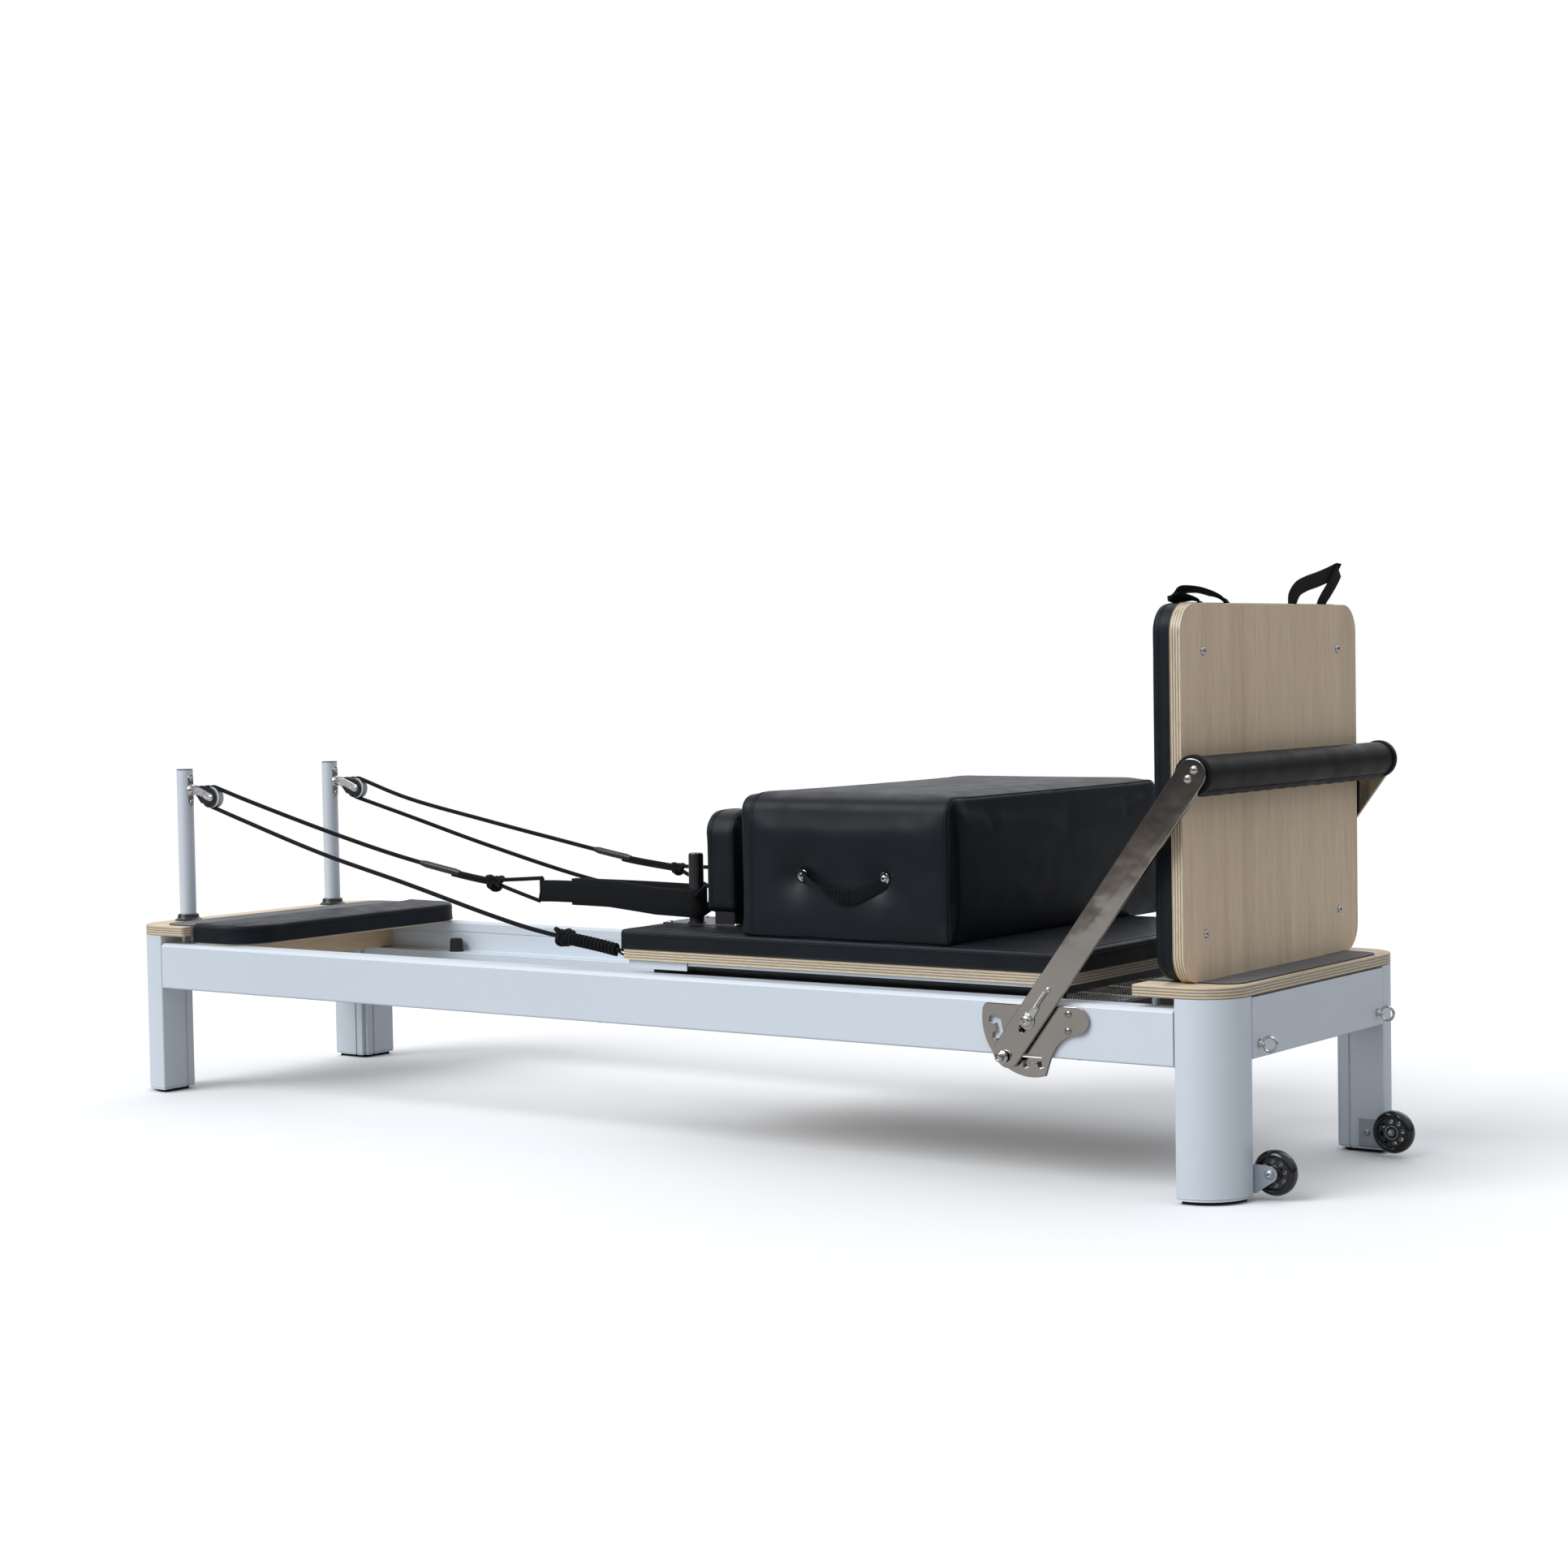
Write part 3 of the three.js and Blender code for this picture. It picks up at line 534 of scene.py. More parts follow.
def ply_edge(name, axis):
    """Thin plies stacked along axis (0 x, 2 z), with dark glue lines between them and end grain."""
    s = Surface(name, (0.66, 0.50, 0.31), 0.42, 0, Coat_Weight=0.25, Coat_Roughness=0.25)
    split = s.node("ShaderNodeSeparateXYZ")
    s.link(s.place, split.inputs[0])
    wobble = s.math("MULTIPLY", s.noise(2.4, 1), 0.16)
    level = s.math("ADD", s.math("MULTIPLY", split.outputs[axis], 1 / PLY_PERIOD), wobble)
    tone = s.ramp(s.math("FRACT", level), PLIES)
    stretch = (0.10, 0.10, 1.0) if axis == 2 else (1.0, 0.10, 0.10)
    grain = s.ramp(s.noise(900, 5, stretch), [(0.3, 0.80), (0.7, 1.08)])
    patch = s.ramp(s.noise(14, 2, stretch), [(0.35, 0.9), (0.65, 1.06)])
    s.based(tone, grain, patch)
    s.rough(s.noise(120, 3), 0.36, 0.52)
    s.bumps((s.noise(1400, 3, stretch), 0.25, 0.00008))
    return s.material


def wood_face(name, stretch):
    """Beige wood-grain laminate, its grain along the axis with the smallest stretch."""
    s = Surface(name, (0.60, 0.475, 0.335), 0.46)
    tones = [(0.30, (0.66, 0.505, 0.345)), (0.48, (0.735, 0.58, 0.405)), (0.70, (0.79, 0.635, 0.455))]
    bands = s.ramp(s.noise(26, 6, stretch), tones)
    pores = s.ramp(s.noise(420, 4, stretch), [(0.34, 0.86), (0.55, 1.0)])
    cloud = s.ramp(s.noise(2.2, 2), [(0.3, 0.96), (0.7, 1.03)])
    s.based(bands, pores, cloud)
    s.rough(s.noise(60, 3), 0.42, 0.52)
    s.bumps((s.noise(420, 4, stretch), 0.18, 0.00005))
    return s.material


def leather(name, color, shine):
    """Black faux leather: a fine pebble grain, soft creases and slightly worn tone."""
    s = Surface(name, color, 0.46, 0, Specular_IOR_Level=shine)
    s.tinted(s.noise(7, 4), 0.82, 1.2)
    s.rough(s.noise(24, 4), 0.40, 0.53)
    s.bumps((s.cells(620), 0.30, 0.00012), (s.noise(1500, 2), 0.12, 0.00005), (s.noise(11, 3), 0.10, 0.0016))
    return s.material


def rubber(name, color, roughness, grain=1400):
    """Dull rubber or plastic with a fine grain."""
    s = Surface(name, color, roughness, 0)
    s.tinted(s.noise(30, 4), 0.8, 1.15)
    s.rough(s.noise(80, 3), roughness - 0.06, min(1.0, roughness + 0.06))
    s.bumps((s.noise(grain, 3), 0.35, 0.00012))
    return s.material


def mat_rubber():
    """Grey anti-slip mat with a small woven relief."""
    s = Surface("grip_mat", (0.155, 0.158, 0.165), 0.78)
    s.tinted(s.noise(18, 4), 0.86, 1.12)
    weave = s.math("MULTIPLY", s.noise(1100, 2, (1, 0.25, 1)), s.noise(1100, 2, (0.25, 1, 1)))
    s.bumps((weave, 0.5, 0.0003))
    return s.material


def polished(name, color, roughness, streak=(1, 1, 1), wave=0.0004):
    """Bare metal: brushed where streak stretches the grain, and uneven by wave metres."""
    s = Surface(name, color, roughness, 1.0)
    s.tinted(s.noise(9, 4), 0.90, 1.06)
    s.rough(s.noise(240, 4, streak), roughness * 0.7, roughness * 1.5)
    s.bumps((s.noise(900, 3, streak), 0.05, 0.00003), (s.noise(8, 3), 0.8, wave))
    return s.material


def painted_metal(name, color, roughness):
    """A painted or moulded part with a thin clear coat."""
    s = Surface(name, color, roughness, Coat_Weight=0.3, Coat_Roughness=0.2)
    s.tinted(s.noise(20, 4), 0.85, 1.2)
    s.rough(s.noise(140, 3), roughness * 0.85, roughness * 1.2)
    s.bumps((s.noise(1500, 2), 0.18, 0.00006))
    return s.material


def woven(name, color, pitch=700):
    """Webbing: small crossing ribs, a little sheen and fuzz."""
    s = Surface(name, color, 0.85, 0, Specular_IOR_Level=0.2, Sheen_Weight=0.03, Sheen_Roughness=0.5)
    s.tinted(s.noise(120, 4), 0.7, 1.35)
    wave = s.node("ShaderNodeTexWave", wave_type="BANDS", bands_direction="DIAGONAL")
    wave.inputs["Scale"].default_value = pitch
    wave.inputs["Distortion"].default_value = 1.2
    s.link(s.place, wave.inputs["Vector"])
    s.bumps((wave.outputs["Fac"], 0.45, 0.0002), (s.noise(2200, 2), 0.3, 0.0001))
    return s.material


FLOOR_BOUNCE = (0.46, 0.455, 0.45)


def floor_material():
    """Pale paper floor, which throws less light back on the object than it shows."""
    s = Surface("studio_floor", (0.90, 0.90, 0.905), 0.8, Specular_IOR_Level=0.1)
    shown = s.ramp(s.noise(0.6, 2), [(0.25, (0.89, 0.89, 0.895)), (0.75, (0.91, 0.91, 0.915))])
    path = s.node("ShaderNodeLightPath").outputs["Is Camera Ray"]
    s.based(s.mix(path, FLOOR_BOUNCE, shown))
    return s.material


# Each look's usual slot and its material.
LOOKS = {
    "aluminium": ("aluminium", coated_aluminium()),
    "ply_z": ("plywood", ply_edge("plywood_edge_z", 2)),
    "ply_x": ("laminate", ply_edge("plywood_edge_x", 0)),
    "wood_y": ("plywood", wood_face("laminate_y", (1, 0.035, 1))),
    "wood_z": ("laminate", wood_face("laminate_z", (1, 1, 0.035))),
    # The leather is near black; its blue tint paints in the bluish reflections seen on its upright sides.
    "leather": ("leather", leather("leather", (0.0028, 0.0050, 0.0090), 0.25)),
    "grip_cover": ("leather", leather("grip_cover", (0.0065, 0.0062, 0.0062), 0.15)),
    "rubber": ("rubber", rubber("rubber", (0.008, 0.008, 0.009), 0.7)),
    "mat": ("rubber", mat_rubber()),
    # The polished steel's colour is darkened and warmed to paint in the dark brownish reflections of its
    # surroundings.
    "steel": ("polished_steel",
              polished("polished_steel", (0.42, 0.39, 0.36), 0.09, (0.04, 1, 0.04), 0.0018)),
    "chrome": ("polished_steel", polished("chrome", (0.62, 0.615, 0.60), 0.10)),
    "zinc": ("zinc_steel", polished("zinc_steel", (0.46, 0.50, 0.55), 0.34)),
    "bright_zinc": ("polished_steel", polished("bright_zinc", (0.85, 0.86, 0.87), 0.36)),
    "black_steel": ("black_steel", painted_metal("black_steel", (0.007, 0.007, 0.008), 0.36)),
    "sheave": ("sheave_plastic", painted_metal("sheave_nylon", (0.50, 0.53, 0.56), 0.40)),
    "gloss": ("wheel_plastic", painted_metal("gloss_polyurethane", (0.004, 0.0043, 0.0055), 0.11)),
    "hub": ("wheel_plastic", painted_metal("wheel_hub", (0.012, 0.013, 0.015), 0.25)),
    "grey_cap": ("sheave_plastic", painted_metal("grey_cap", (0.10, 0.108, 0.118), 0.5)),
    "webbing": ("webbing", woven("webbing", (0.0032, 0.0036, 0.0050))),
    "rope": ("webbing", woven("rope", (0.0032, 0.0034, 0.0044), 1100)),
    "sleeve": ("webbing", rubber("heat_shrink", (0.012, 0.0125, 0.014), 0.38, 300)),
    "thread": ("leather", woven("thread", (0.012, 0.013, 0.017), 3000)),
    # Brown wood that paints in the shadow and reflection under the end platform's pad.
    "shade_board_brown": ("laminate", wood_face("platform_shade_board", (1, 0.05, 1))),
}


# ---------------------------------------------------------------- pieces
# Settings of pieces without a sharp edge.
ROUND = {"angle": 180, "flat": False}
CLOTH = {"frames": 20, "quality": 4, "mass": 0.3, "pressure": 4.0}


def piece(name, bm, looks, body=None, replaces=(), slot=None, angle=38, flat=True):
    """Makes one object in metres from a mesh in millimetres and fixes it to its body."""
    for v in bm.verts:
        v.co = metres(v.co)
    mesh = bpy.data.meshes.new(name)
    bm.to_mesh(mesh)
    bm.free()
    looks = [looks] if isinstance(looks, str) else looks
    for look in looks:
        mesh.materials.append(LOOKS[look][1])
    mesh.shade_smooth()
    mesh.set_sharp_from_angle(angle=math.radians(angle))
    made = bpy.data.objects.new(name, mesh)
    bpy.context.scene.collection.objects.link(made)
    if flat:
        weighted = made.modifiers.new("WeightedNormal", "WEIGHTED_NORMAL")
        weighted.keep_sharp = True
    if body:
        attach(made, body)
    if replaces:
        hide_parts(*replaces)
    return made


def pair(name, bm, looks, body, replaces=(), **settings):
    """The same piece on both sides; SIDE in a body's or node's name becomes near or far."""
    for side, shape in {"near": bm, "far": mirrored(bm)}.items():
        nodes = [n.replace("SIDE", side) for n in replaces]
        piece(f"{name}_{side}", shape, looks, body.replace("SIDE", side), nodes, **settings)


def dress(node, look):
    """A CAD node that is shown as it is, in its Blender material."""
    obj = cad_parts[node]
    slot, material = LOOKS[look]
    obj.data.materials.clear()
    obj.data.materials.append(material)


def inflate(obj, cap, pinned):
    """Swells a cushion by a short cloth simulation: a point by cap at most, and not where pinned(co)."""
    scene = bpy.context.scene
    rest = [v.co.copy() for v in obj.data.vertices]
    group = obj.vertex_groups.new(name="pin")
    group.add([i for i, co in enumerate(rest) if pinned(millimetres(co))], 1.0, "REPLACE")
    cloth = obj.modifiers.new("Cloth", "CLOTH")
    cloth.settings.quality = CLOTH["quality"]
    cloth.settings.mass = CLOTH["mass"]
    cloth.settings.use_pressure = True
    cloth.settings.uniform_pressure_force = CLOTH["pressure"]
    cloth.settings.effector_weights.gravity = 0
    cloth.settings.vertex_group_mass = "pin"
    cloth.point_cache.frame_start = 1
    cloth.point_cache.frame_end = CLOTH["frames"]
    for number in range(1, CLOTH["frames"] + 1):
        scene.frame_set(number)
    shaped = obj.evaluated_get(bpy.context.evaluated_depsgraph_get()).to_mesh()
    moved = [v.co.copy() for v in shaped.vertices]
    obj.modifiers.remove(cloth)
    obj.vertex_groups.remove(group)
    limit = cap * MM
    for v, start, end in zip(obj.data.vertices, rest, moved):
        push = end - start
        size = push.length
        v.co = start + push * (limit * math.tanh(size / limit) / size if size > 1e-9 else 0)
    scene.frame_set(1)


def cushion(name, bm, body, node, cap, pinned, press=None):
    """A padded leather piece: swollen, pressed in where press(obj) says so, smoothed and fixed to its body.
    """
    obj = piece(name, bm, "leather", **ROUND)
    inflate(obj, cap, pinned)
    if press:
        press(obj)
    finer = obj.modifiers.new("Subdivision", "SUBSURF")
    finer.levels = finer.render_levels = 1
    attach(obj, body)
    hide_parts(node)
    return obj


def surface_of(obj):
    """The final surface of a piece, to lay seams on."""
    bpy.context.view_layer.update()
    return BVHTree.FromObject(obj, bpy.context.evaluated_depsgraph_get())


def laid_on(tree, points, lift):
    """Points moved onto a surface, with the surface's normals."""
    out = []
    for point in points:
        place, normal, _, _ = tree.find_nearest(metres(point))
        out.append((millimetres(place) + normal * lift, normal))
    return out


def evenly(points, step, closed=True):
    """The same line with a point about every step."""
    points = [Vector(p) for p in points]
    line = points + [points[0]] if closed else points
    out = []
    for a, b in zip(line, line[1:]):
        count = max(1, math.ceil((b - a).length / step))
        out += [a.lerp(b, i / count) for i in range(count)]
    return out if closed else out + [line[-1]]


def welt(tree, points, radius, lift=-0.25):
    """A raised seam cord laid on a surface."""
    return tube([p for p, _ in laid_on(tree, evenly(points, 8), lift)], radius, 6, True)


STITCH = {"length": 3.6, "radius": 0.45, "rise": 0.25, "lift": 0.15}


def stitches(tree, points, pitch=6.0, closed=True):
    """A row of short thread stitches laid on a surface."""
    places = laid_on(tree, evenly(points, pitch / 2, closed), STITCH["lift"])
    made = []
    for (a, n), (b, _) in zip(places[::2], places[1::2]):
        middle, along = (a + b) / 2, b - a
        if along.length < 0.2:
            continue
        along = along.normalized() * STITCH["length"] / 2
        top = n * STITCH["rise"]
        line = [middle - along, middle - along * 0.4 + top, middle + along * 0.4 + top, middle + along]
        made.append(tube(line, STITCH["radius"], 5))
    return merged(*made)


def sewn(tree, names, body, seams, rows, pitch=6.0):
    """A cushion's raised seams, each a line and how welt() lays it, and its rows of stitches."""
    piece(names[0], merged(*(welt(tree, line, *how) for line, *how in seams)), "leather", body, **ROUND)
    piece(names[1], merged(*(stitches(tree, line, pitch) for line in rows)), "thread", body, **ROUND)


def domed_screw(centre, axis, radius):
    """A round-headed screw with a hexagon socket."""
    profile = [(0, 0), (1, 0), (1, 0.14), (0.93, 0.34), (0.74, 0.50), (0.46, 0.57), (0.40, 0.54),
               (0.38, 0.22), (0, 0.20)]
    return lathe([(r * radius, h * radius) for r, h in profile], centre, axis, 24, hexed=(6, 7))


def washer(centre, axis, outer, inner, height):
    profile = [(inner, 0), (outer - 0.4, 0), (outer, 0.4), (outer, height - 0.3), (outer - 0.4, height),
               (inner, height)]
    return lathe(profile, centre, axis, 28, ring=True)


def hex_nut(centre, axis, size, height):
    r = size / 2
    profile = [(0, 0), (r, 0), (r, height * 0.8), (r * 0.86, height), (0, height)]
    return lathe(profile, centre, axis, 24, hexed=(1, 2))


# ---------------------------------------------------------------- camera and light
CAMERA = {"place": (3.1231, -4.0940, 0.8257), "azimuth": 36.119, "elevation": 2.48, "roll": -1.001,
          "lens": 65.556}


def camera():
    """The photograph's camera."""
    a, e, r = (math.radians(CAMERA[k]) for k in ("azimuth", "elevation", "roll"))
    back = Vector((math.sin(a) * math.cos(e), -math.cos(a) * math.cos(e), math.sin(e)))
    right = Vector((math.cos(a), math.sin(a), 0))
    up = back.cross(right)
    turned = right * math.cos(r) + up * math.sin(r), up * math.cos(r) - right * math.sin(r)
    data = bpy.data.cameras.new("camera")
    data.lens = CAMERA["lens"]
    data.sensor_width = 36
    data.clip_end = 100
    made = bpy.data.objects.new("camera", data)
    bpy.context.scene.collection.objects.link(made)
    made.matrix_world = Matrix((*turned, back)).transposed().to_4x4()
    made.location = Vector(CAMERA["place"]) + CENTRE
    bpy.context.scene.camera = made


# What surfaces reflect, from straight down (0) to straight up (1): a dim horizon under a bright ceiling.
SURROUNDINGS = [(0.0, (0.50, 0.48, 0.46)), (0.45, (0.30, 0.28, 0.265)), (0.485, (0.085, 0.08, 0.078)),
                (0.515, (0.055, 0.065, 0.09)), (0.56, (0.12, 0.14, 0.18)), (0.64, (0.30, 0.325, 0.36)),
                (0.80, (0.62, 0.64, 0.67)), (1.0, (0.75, 0.76, 0.78))]
BACKDROP = 1.0
# A glow from behind the object, which the camera doesn't see.
BEHIND = {"toward": (-0.589, 0.808, 0), "glow": 0.5}
FLOOR_RADIUS = 5.2


def surroundings():
    """A pale backdrop for the camera, and the studio's soft gradient for everything else."""
    world = bpy.data.worlds.new("studio")
    bpy.context.scene.world = world
    world.use_nodes = True
    tree = world.node_tree
    kinds = {"place": "TexCoord", "split": "SeparateXYZ", "half": "Math", "ramp": "ValToRGB",
             "seen": "Background", "path": "LightPath", "mix": "MixShader", "facing": "VectorMath",
             "ahead": "Math", "glow": "Math", "lit": "Mix"}
    node = {name: tree.nodes.new(f"ShaderNode{kind}") for name, kind in kinds.items()}
    node["lit_sky"] = tree.nodes["Background"]
    node["world"] = tree.nodes["World Output"]
    node["half"].operation = "MULTIPLY_ADD"
    node["half"].inputs[1].default_value = node["half"].inputs[2].default_value = 0.5
    elements = node["ramp"].color_ramp.elements
    while len(elements) < len(SURROUNDINGS):
        elements.new(0.5)
    for element, (position, color) in zip(elements, SURROUNDINGS):
        element.position = position
        element.color = (*color, 1)
    node["seen"].inputs["Color"].default_value = (BACKDROP, BACKDROP, BACKDROP, 1)
    node["facing"].operation = "DOT_PRODUCT"
    node["facing"].inputs[1].default_value = BEHIND["toward"]
    node["ahead"].operation = "MAXIMUM"
    node["ahead"].inputs[1].default_value = 0
    node["glow"].operation = "MULTIPLY"
    node["lit"].data_type = "RGBA"
    node["lit"].blend_type = "ADD"
    node["lit"].inputs[7].default_value = (BEHIND["glow"], BEHIND["glow"], BEHIND["glow"], 1)
    links = (("place", "Generated", "split", 0), ("split", 2, "half", 0), ("place", "Generated", "facing", 0),
             ("facing", "Value", "ahead", 0), ("ahead", 0, "glow", 0), ("ahead", 0, "glow", 1),
             ("glow", 0, "lit", 0), ("ramp", 0, "lit", 6), ("half", 0, "ramp", 0),
             ("lit", 2, "lit_sky", "Color"), ("path", "Is Camera Ray", "mix", 0), ("lit_sky", 0, "mix", 1),
             ("seen", 0, "mix", 2), ("mix", 0, "world", "Surface"))
    for source, output, target, socket in links:
        tree.links.new(node[source].outputs[output], node[target].inputs[socket])


def soft_sun(name, toward, strength, spread, color):
    """Even light from one side; toward points from the object to the light."""
    data = bpy.data.lights.new(name, "SUN")
    data.energy = strength
    data.angle = math.radians(spread)
    data.color = color
    made = bpy.data.objects.new(name, data)
    bpy.context.scene.collection.objects.link(made)
    made.rotation_mode = "QUATERNION"
    made.rotation_quaternion = Vector(toward).to_track_quat("Z", "Y")


def studio():
    """The surroundings, three soft suns and a round floor."""
    surroundings()
    soft_sun("key", (-0.36, -0.78, 0.68), 2.2, 42, (0.975, 0.99, 1.0))
    soft_sun("rear", (-0.2, 0.75, 0.75), 0.35, 60, (1.0, 1.0, 1.0))
    soft_sun("side", (0.9, -0.15, 0.55), 0.12, 60, (1.0, 0.985, 0.96))
    bm = bmesh.new()
    bm.faces.new([bm.verts.new(point) for point in raised(circle(0, 0, FLOOR_RADIUS, 96), 0, "z")])
    mesh = bpy.data.meshes.new("floor")
    bm.to_mesh(mesh)
    bm.free()
    mesh.materials.append(floor_material())
    floor = bpy.data.objects.new("floor", mesh)
    bpy.context.scene.collection.objects.link(floor)
    bpy.context.scene.view_settings.view_transform = "Standard"


# ---------------------------------------------------------------- ropes
ROPE = {"radius": 4.0, "pitch": 20.2, "wrap": (255, 75), "post_y": 201, "step": 1.6}
SHEAVE_CENTRE = (-1113.5, 575.0)
# Points of the ropes' routes, with Y as a distance from the centre plane.
ROPE_LOWER = {
    "near": [(-8.5, 281, 327), (-81.5, 277, 337), (-160.5, 272, 346), (-241.5, 266, 357.5),
             (-344.5, 258.5, 377.5), (-559.5, 242.5, 424.5), (-790.5, 225, 472), (-1024.5, 207.5, 530.5)],
    "far": [(-8.5, 281, 327), (-81.5, 277, 336), (-160.5, 272, 343), (-241.5, 266, 352),
            (-344.5, 258.5, 368), (-537.5, 244, 402.5), (-778.5, 226, 462), (-987.5, 210, 520)],
}
ROPE_UPPER = {
    "near": [(-1033.5, 198, 572.5), (-824.5, 190, 516), (-635.5, 183, 470.5), (-476.5, 177, 440.5),
             (-399.5, 174, 430), (-294.5, 170.3, 420)],
    "far": [(-973.5, 196.5, 557), (-744.5, 189, 514), (-525.5, 182, 476), (-461.5, 180, 465),
            (-359.5, 176.5, 449), (-242.5, 173, 436), (-154.5, 170.3, 425)],
}
STRAP_END = {"near": -292.5, "far": -152.5}
SLEEVE = {"near": (-578, -482), "far": (-455, -362)}
KNOT = {"near": -397, "far": -242}
KNOT_SIZE = {"near": 18.0, "far": 13.0}
COIL = (-158, -24)
BRAID = {"strands": 4, "pitch": 44.0, "depth": 0.03}
STRAP_Y = 170


def on_side(points, side):
    return [Vector((x, SIDES[side] * y, z)) for x, y, z in points]


def rope_lines(side):
    """The rope's lower strand, its turn round the sheave and its upper strand."""
    wrap = arc(*SHEAVE_CENTRE, ROPE["pitch"], *ROPE["wrap"], 24)
    turn = on_side(raised(wrap, ROPE["post_y"], "y"), side)
    lower = spline(on_side(ROPE_LOWER[side], side) + [turn[0]], ROPE["step"])
    upper = spline([turn[-1]] + on_side(ROPE_UPPER[side], side), ROPE["step"])
    return lower, turn, upper


def braid(radius):
    """The radius of a braided rope: strands that cross in both directions."""
    def at(_, angle, length):
        turn = 2 * math.pi * length / BRAID["pitch"]
        one = abs(math.cos(BRAID["strands"] * (angle + turn) / 2))
        other = abs(math.cos(BRAID["strands"] * (angle - turn) / 2))
        return radius * (1 - BRAID["depth"] + BRAID["depth"] * 1.6 * max(one, other))
    return at


def between(line, x0, x1):
    return [p for p in line if x0 <= p.x <= x1]


def blended(obj):
    """Bakes a piece's placement into its mesh."""
    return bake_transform(obj)


def knot(centre, along, size, radius):
    """An overhand knot: one closed loop that crosses itself three times."""
    side = Vector((0, 0, 1)).cross(along).normalized()
    up = along.cross(side)
    out = []
    for t in full_turn(48):
        out.append(centre + (along * (math.sin(t) + 1.6 * math.sin(2 * t)) * 0.36
                             + up * (math.cos(t) - 1.6 * math.cos(2 * t)) * 0.30
                             + side * -math.sin(3 * t) * 0.34) * size)
    return tube(out, radius, 10, True)


def rope(side):
    """One rope with its fittings."""
    lower, turn, upper = rope_lines(side)
    upper = [p for p in upper if p.x <= KNOT[side] + 4]
    line = lower[:-1] + turn[:-1] + upper
    made = piece(f"rope_line_{side}", tube(line, braid(ROPE["radius"]), 18), "rope", **ROUND)
    with_pieces = rope_fittings(side, lower, upper)
    blended(made)
    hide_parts(f"rope_{side}")


def rope_fittings(side, lower, upper):
    """Sleeve, doubled end, knot and hand loop on the upper strand; coil and eye on the lower one."""
    knotted = Vector((KNOT[side], upper[-1].y, upper[-1].z - 2))
    along = (upper[-1] - upper[-20]).normalized()
    size = KNOT_SIZE[side]
    second = knotted + Vector((-size / 2, 0, 1))
    shapes = {
        "sleeve": rope_sleeve(side, upper),
        "tail": rope_tail(side, upper),
        "knot": merged(knot(knotted, along, size, 4.4), knot(second, along, size * 0.8, 4.2)),
        "hand_loop": hand_loop(side, knotted),
        "coil": rope_coil(lower),
        "eye": rope_eye(side, lower),
    }
    made = []
    for name, shape in shapes.items():
        look, settings = ("sleeve", {"angle": 60, "flat": False}) if name == "sleeve" else ("rope", ROUND)
        body = "carriage" if name in ("coil", "eye") else None
        made.append(piece(f"rope_{name}_{side}", shape, look, body, **settings))
    for obj in made[:4]:
        blended(obj)
    return made


def rope_sleeve(side, upper):
    """The shrink sleeve: flattened, tapered at both ends and a little uneven."""
    core = between(upper, *SLEEVE[side])

    def swell(i, angle, _):
        end = min(i, len(core) - 1 - i)
        flat = 6.6 if end > 6 else 4.9 + 0.25 * end
        return flat * (1 - 0.13 * abs(math.sin(angle))) + 0.1 * math.sin(i * 0.9)
    return tube(core, swell, 16)


def rope_tail(side, upper):
    """The rope's end, which runs back under itself from the knot into the sleeve."""
    beside = Vector((0, -SIDES[side] * 1.0, -6.3))
    return tube([p + beside for p in between(upper, SLEEVE[side][1] - 22, KNOT[side])], braid(3.5), 14)


def hand_loop(side, knotted):
    """The rope's triangle from the knot through the strap's fold."""
    end = STRAP_END[side]
    y = SIDES[side] * STRAP_Y
    high, low = Vector((end + 5, y, 438)), Vector((end - 2, y, 396))
    loops = []
    for corner, bend in ((high, 2), (low, -2)):
        middle = knotted.lerp(corner, 0.5) + Vector((0, 0, bend * 0.8))
        loops.append(spline([knotted + Vector((6, 0, bend * 2)), middle, corner], 3))
    loops.append(spline([high, Vector((end + 3, y, 416)), low], 4))
    return merged(*(tube(line, braid(3.6), 12) for line in loops))


def rope_coil(lower):
    """The spare rope, wound round the lower strand and tied off."""
    wound = between(lower, *COIL)
    wound.reverse()
    bulge = wound[0] + Vector((3, 0, 2))
    toward = (wound[1] - wound[0]).normalized()
    return merged(tube(helix(wound, 8.0, 15.5, 18), 3.75, 12), knot(bulge, toward, 20.0, 4.4),
                  knot(bulge + toward * 11, toward, 17.0, 4.4))


def rope_eye(side, lower):
    """The bight of rope between the coil and the clip at the carriage corner."""
    sign = SIDES[side]
    a, b = lower[0], [p for p in lower if p.x >= COIL[1]][-1]
    bow = Vector((0, sign * 7, 2))
    line = spline([b, b.lerp(a, 0.4) + bow, a + Vector((-6, sign * 4, 0)), a + Vector((-1, 0, -4)),
                   a + Vector((-8, -sign * 4, -2)), b.lerp(a, 0.5) - bow, b - Vector((4, 0, 0))], 3)
    return tube(line, braid(3.2), 12)


# ---------------------------------------------------------------- frame
GROOVE = {"near": 15, "width": 5, "depth": 2.6}
LEG_RADIUS = 72
DECK_BEVEL = 1.3
MAT_RISE = 1.6
TONGUE_Y = 215


def leg_outline(node, grow=0.0):
    """Plan of the +X, -Y leg: a big outer radius, a notch at the inner corner, grooves in the inner faces."""
    low, high = span(node)
    x0, x1, y0, y1 = low.x - grow, high.x + grow, low.y - grow, high.y + grow
    radius, notch = LEG_RADIUS + grow, 8
    g0, g1, deep = GROOVE["near"], GROOVE["near"] + GROOVE["width"], GROOVE["depth"]
    nx, ny = x0 + notch, y1 - notch
    return [(x0 + 1.5, y0), *arc(x1 - radius, y0 + radius, radius, -90, 0, 24), (x1, y1 - 1.5),
            (x1 - 1.5, y1), (nx + g1, y1), (nx + g1, y1 - deep), (nx + g0, y1 - deep), (nx + g0, y1),
            (nx + 0.8, y1), (nx, y1 - 0.8), (nx, ny), (x0 + 0.8, ny), (x0, ny - 0.8), (x0, ny - g0),
            (x0 + deep, ny - g0), (x0 + deep, ny - g1), (x0, ny - g1), (x0, y0 + 1.5)]


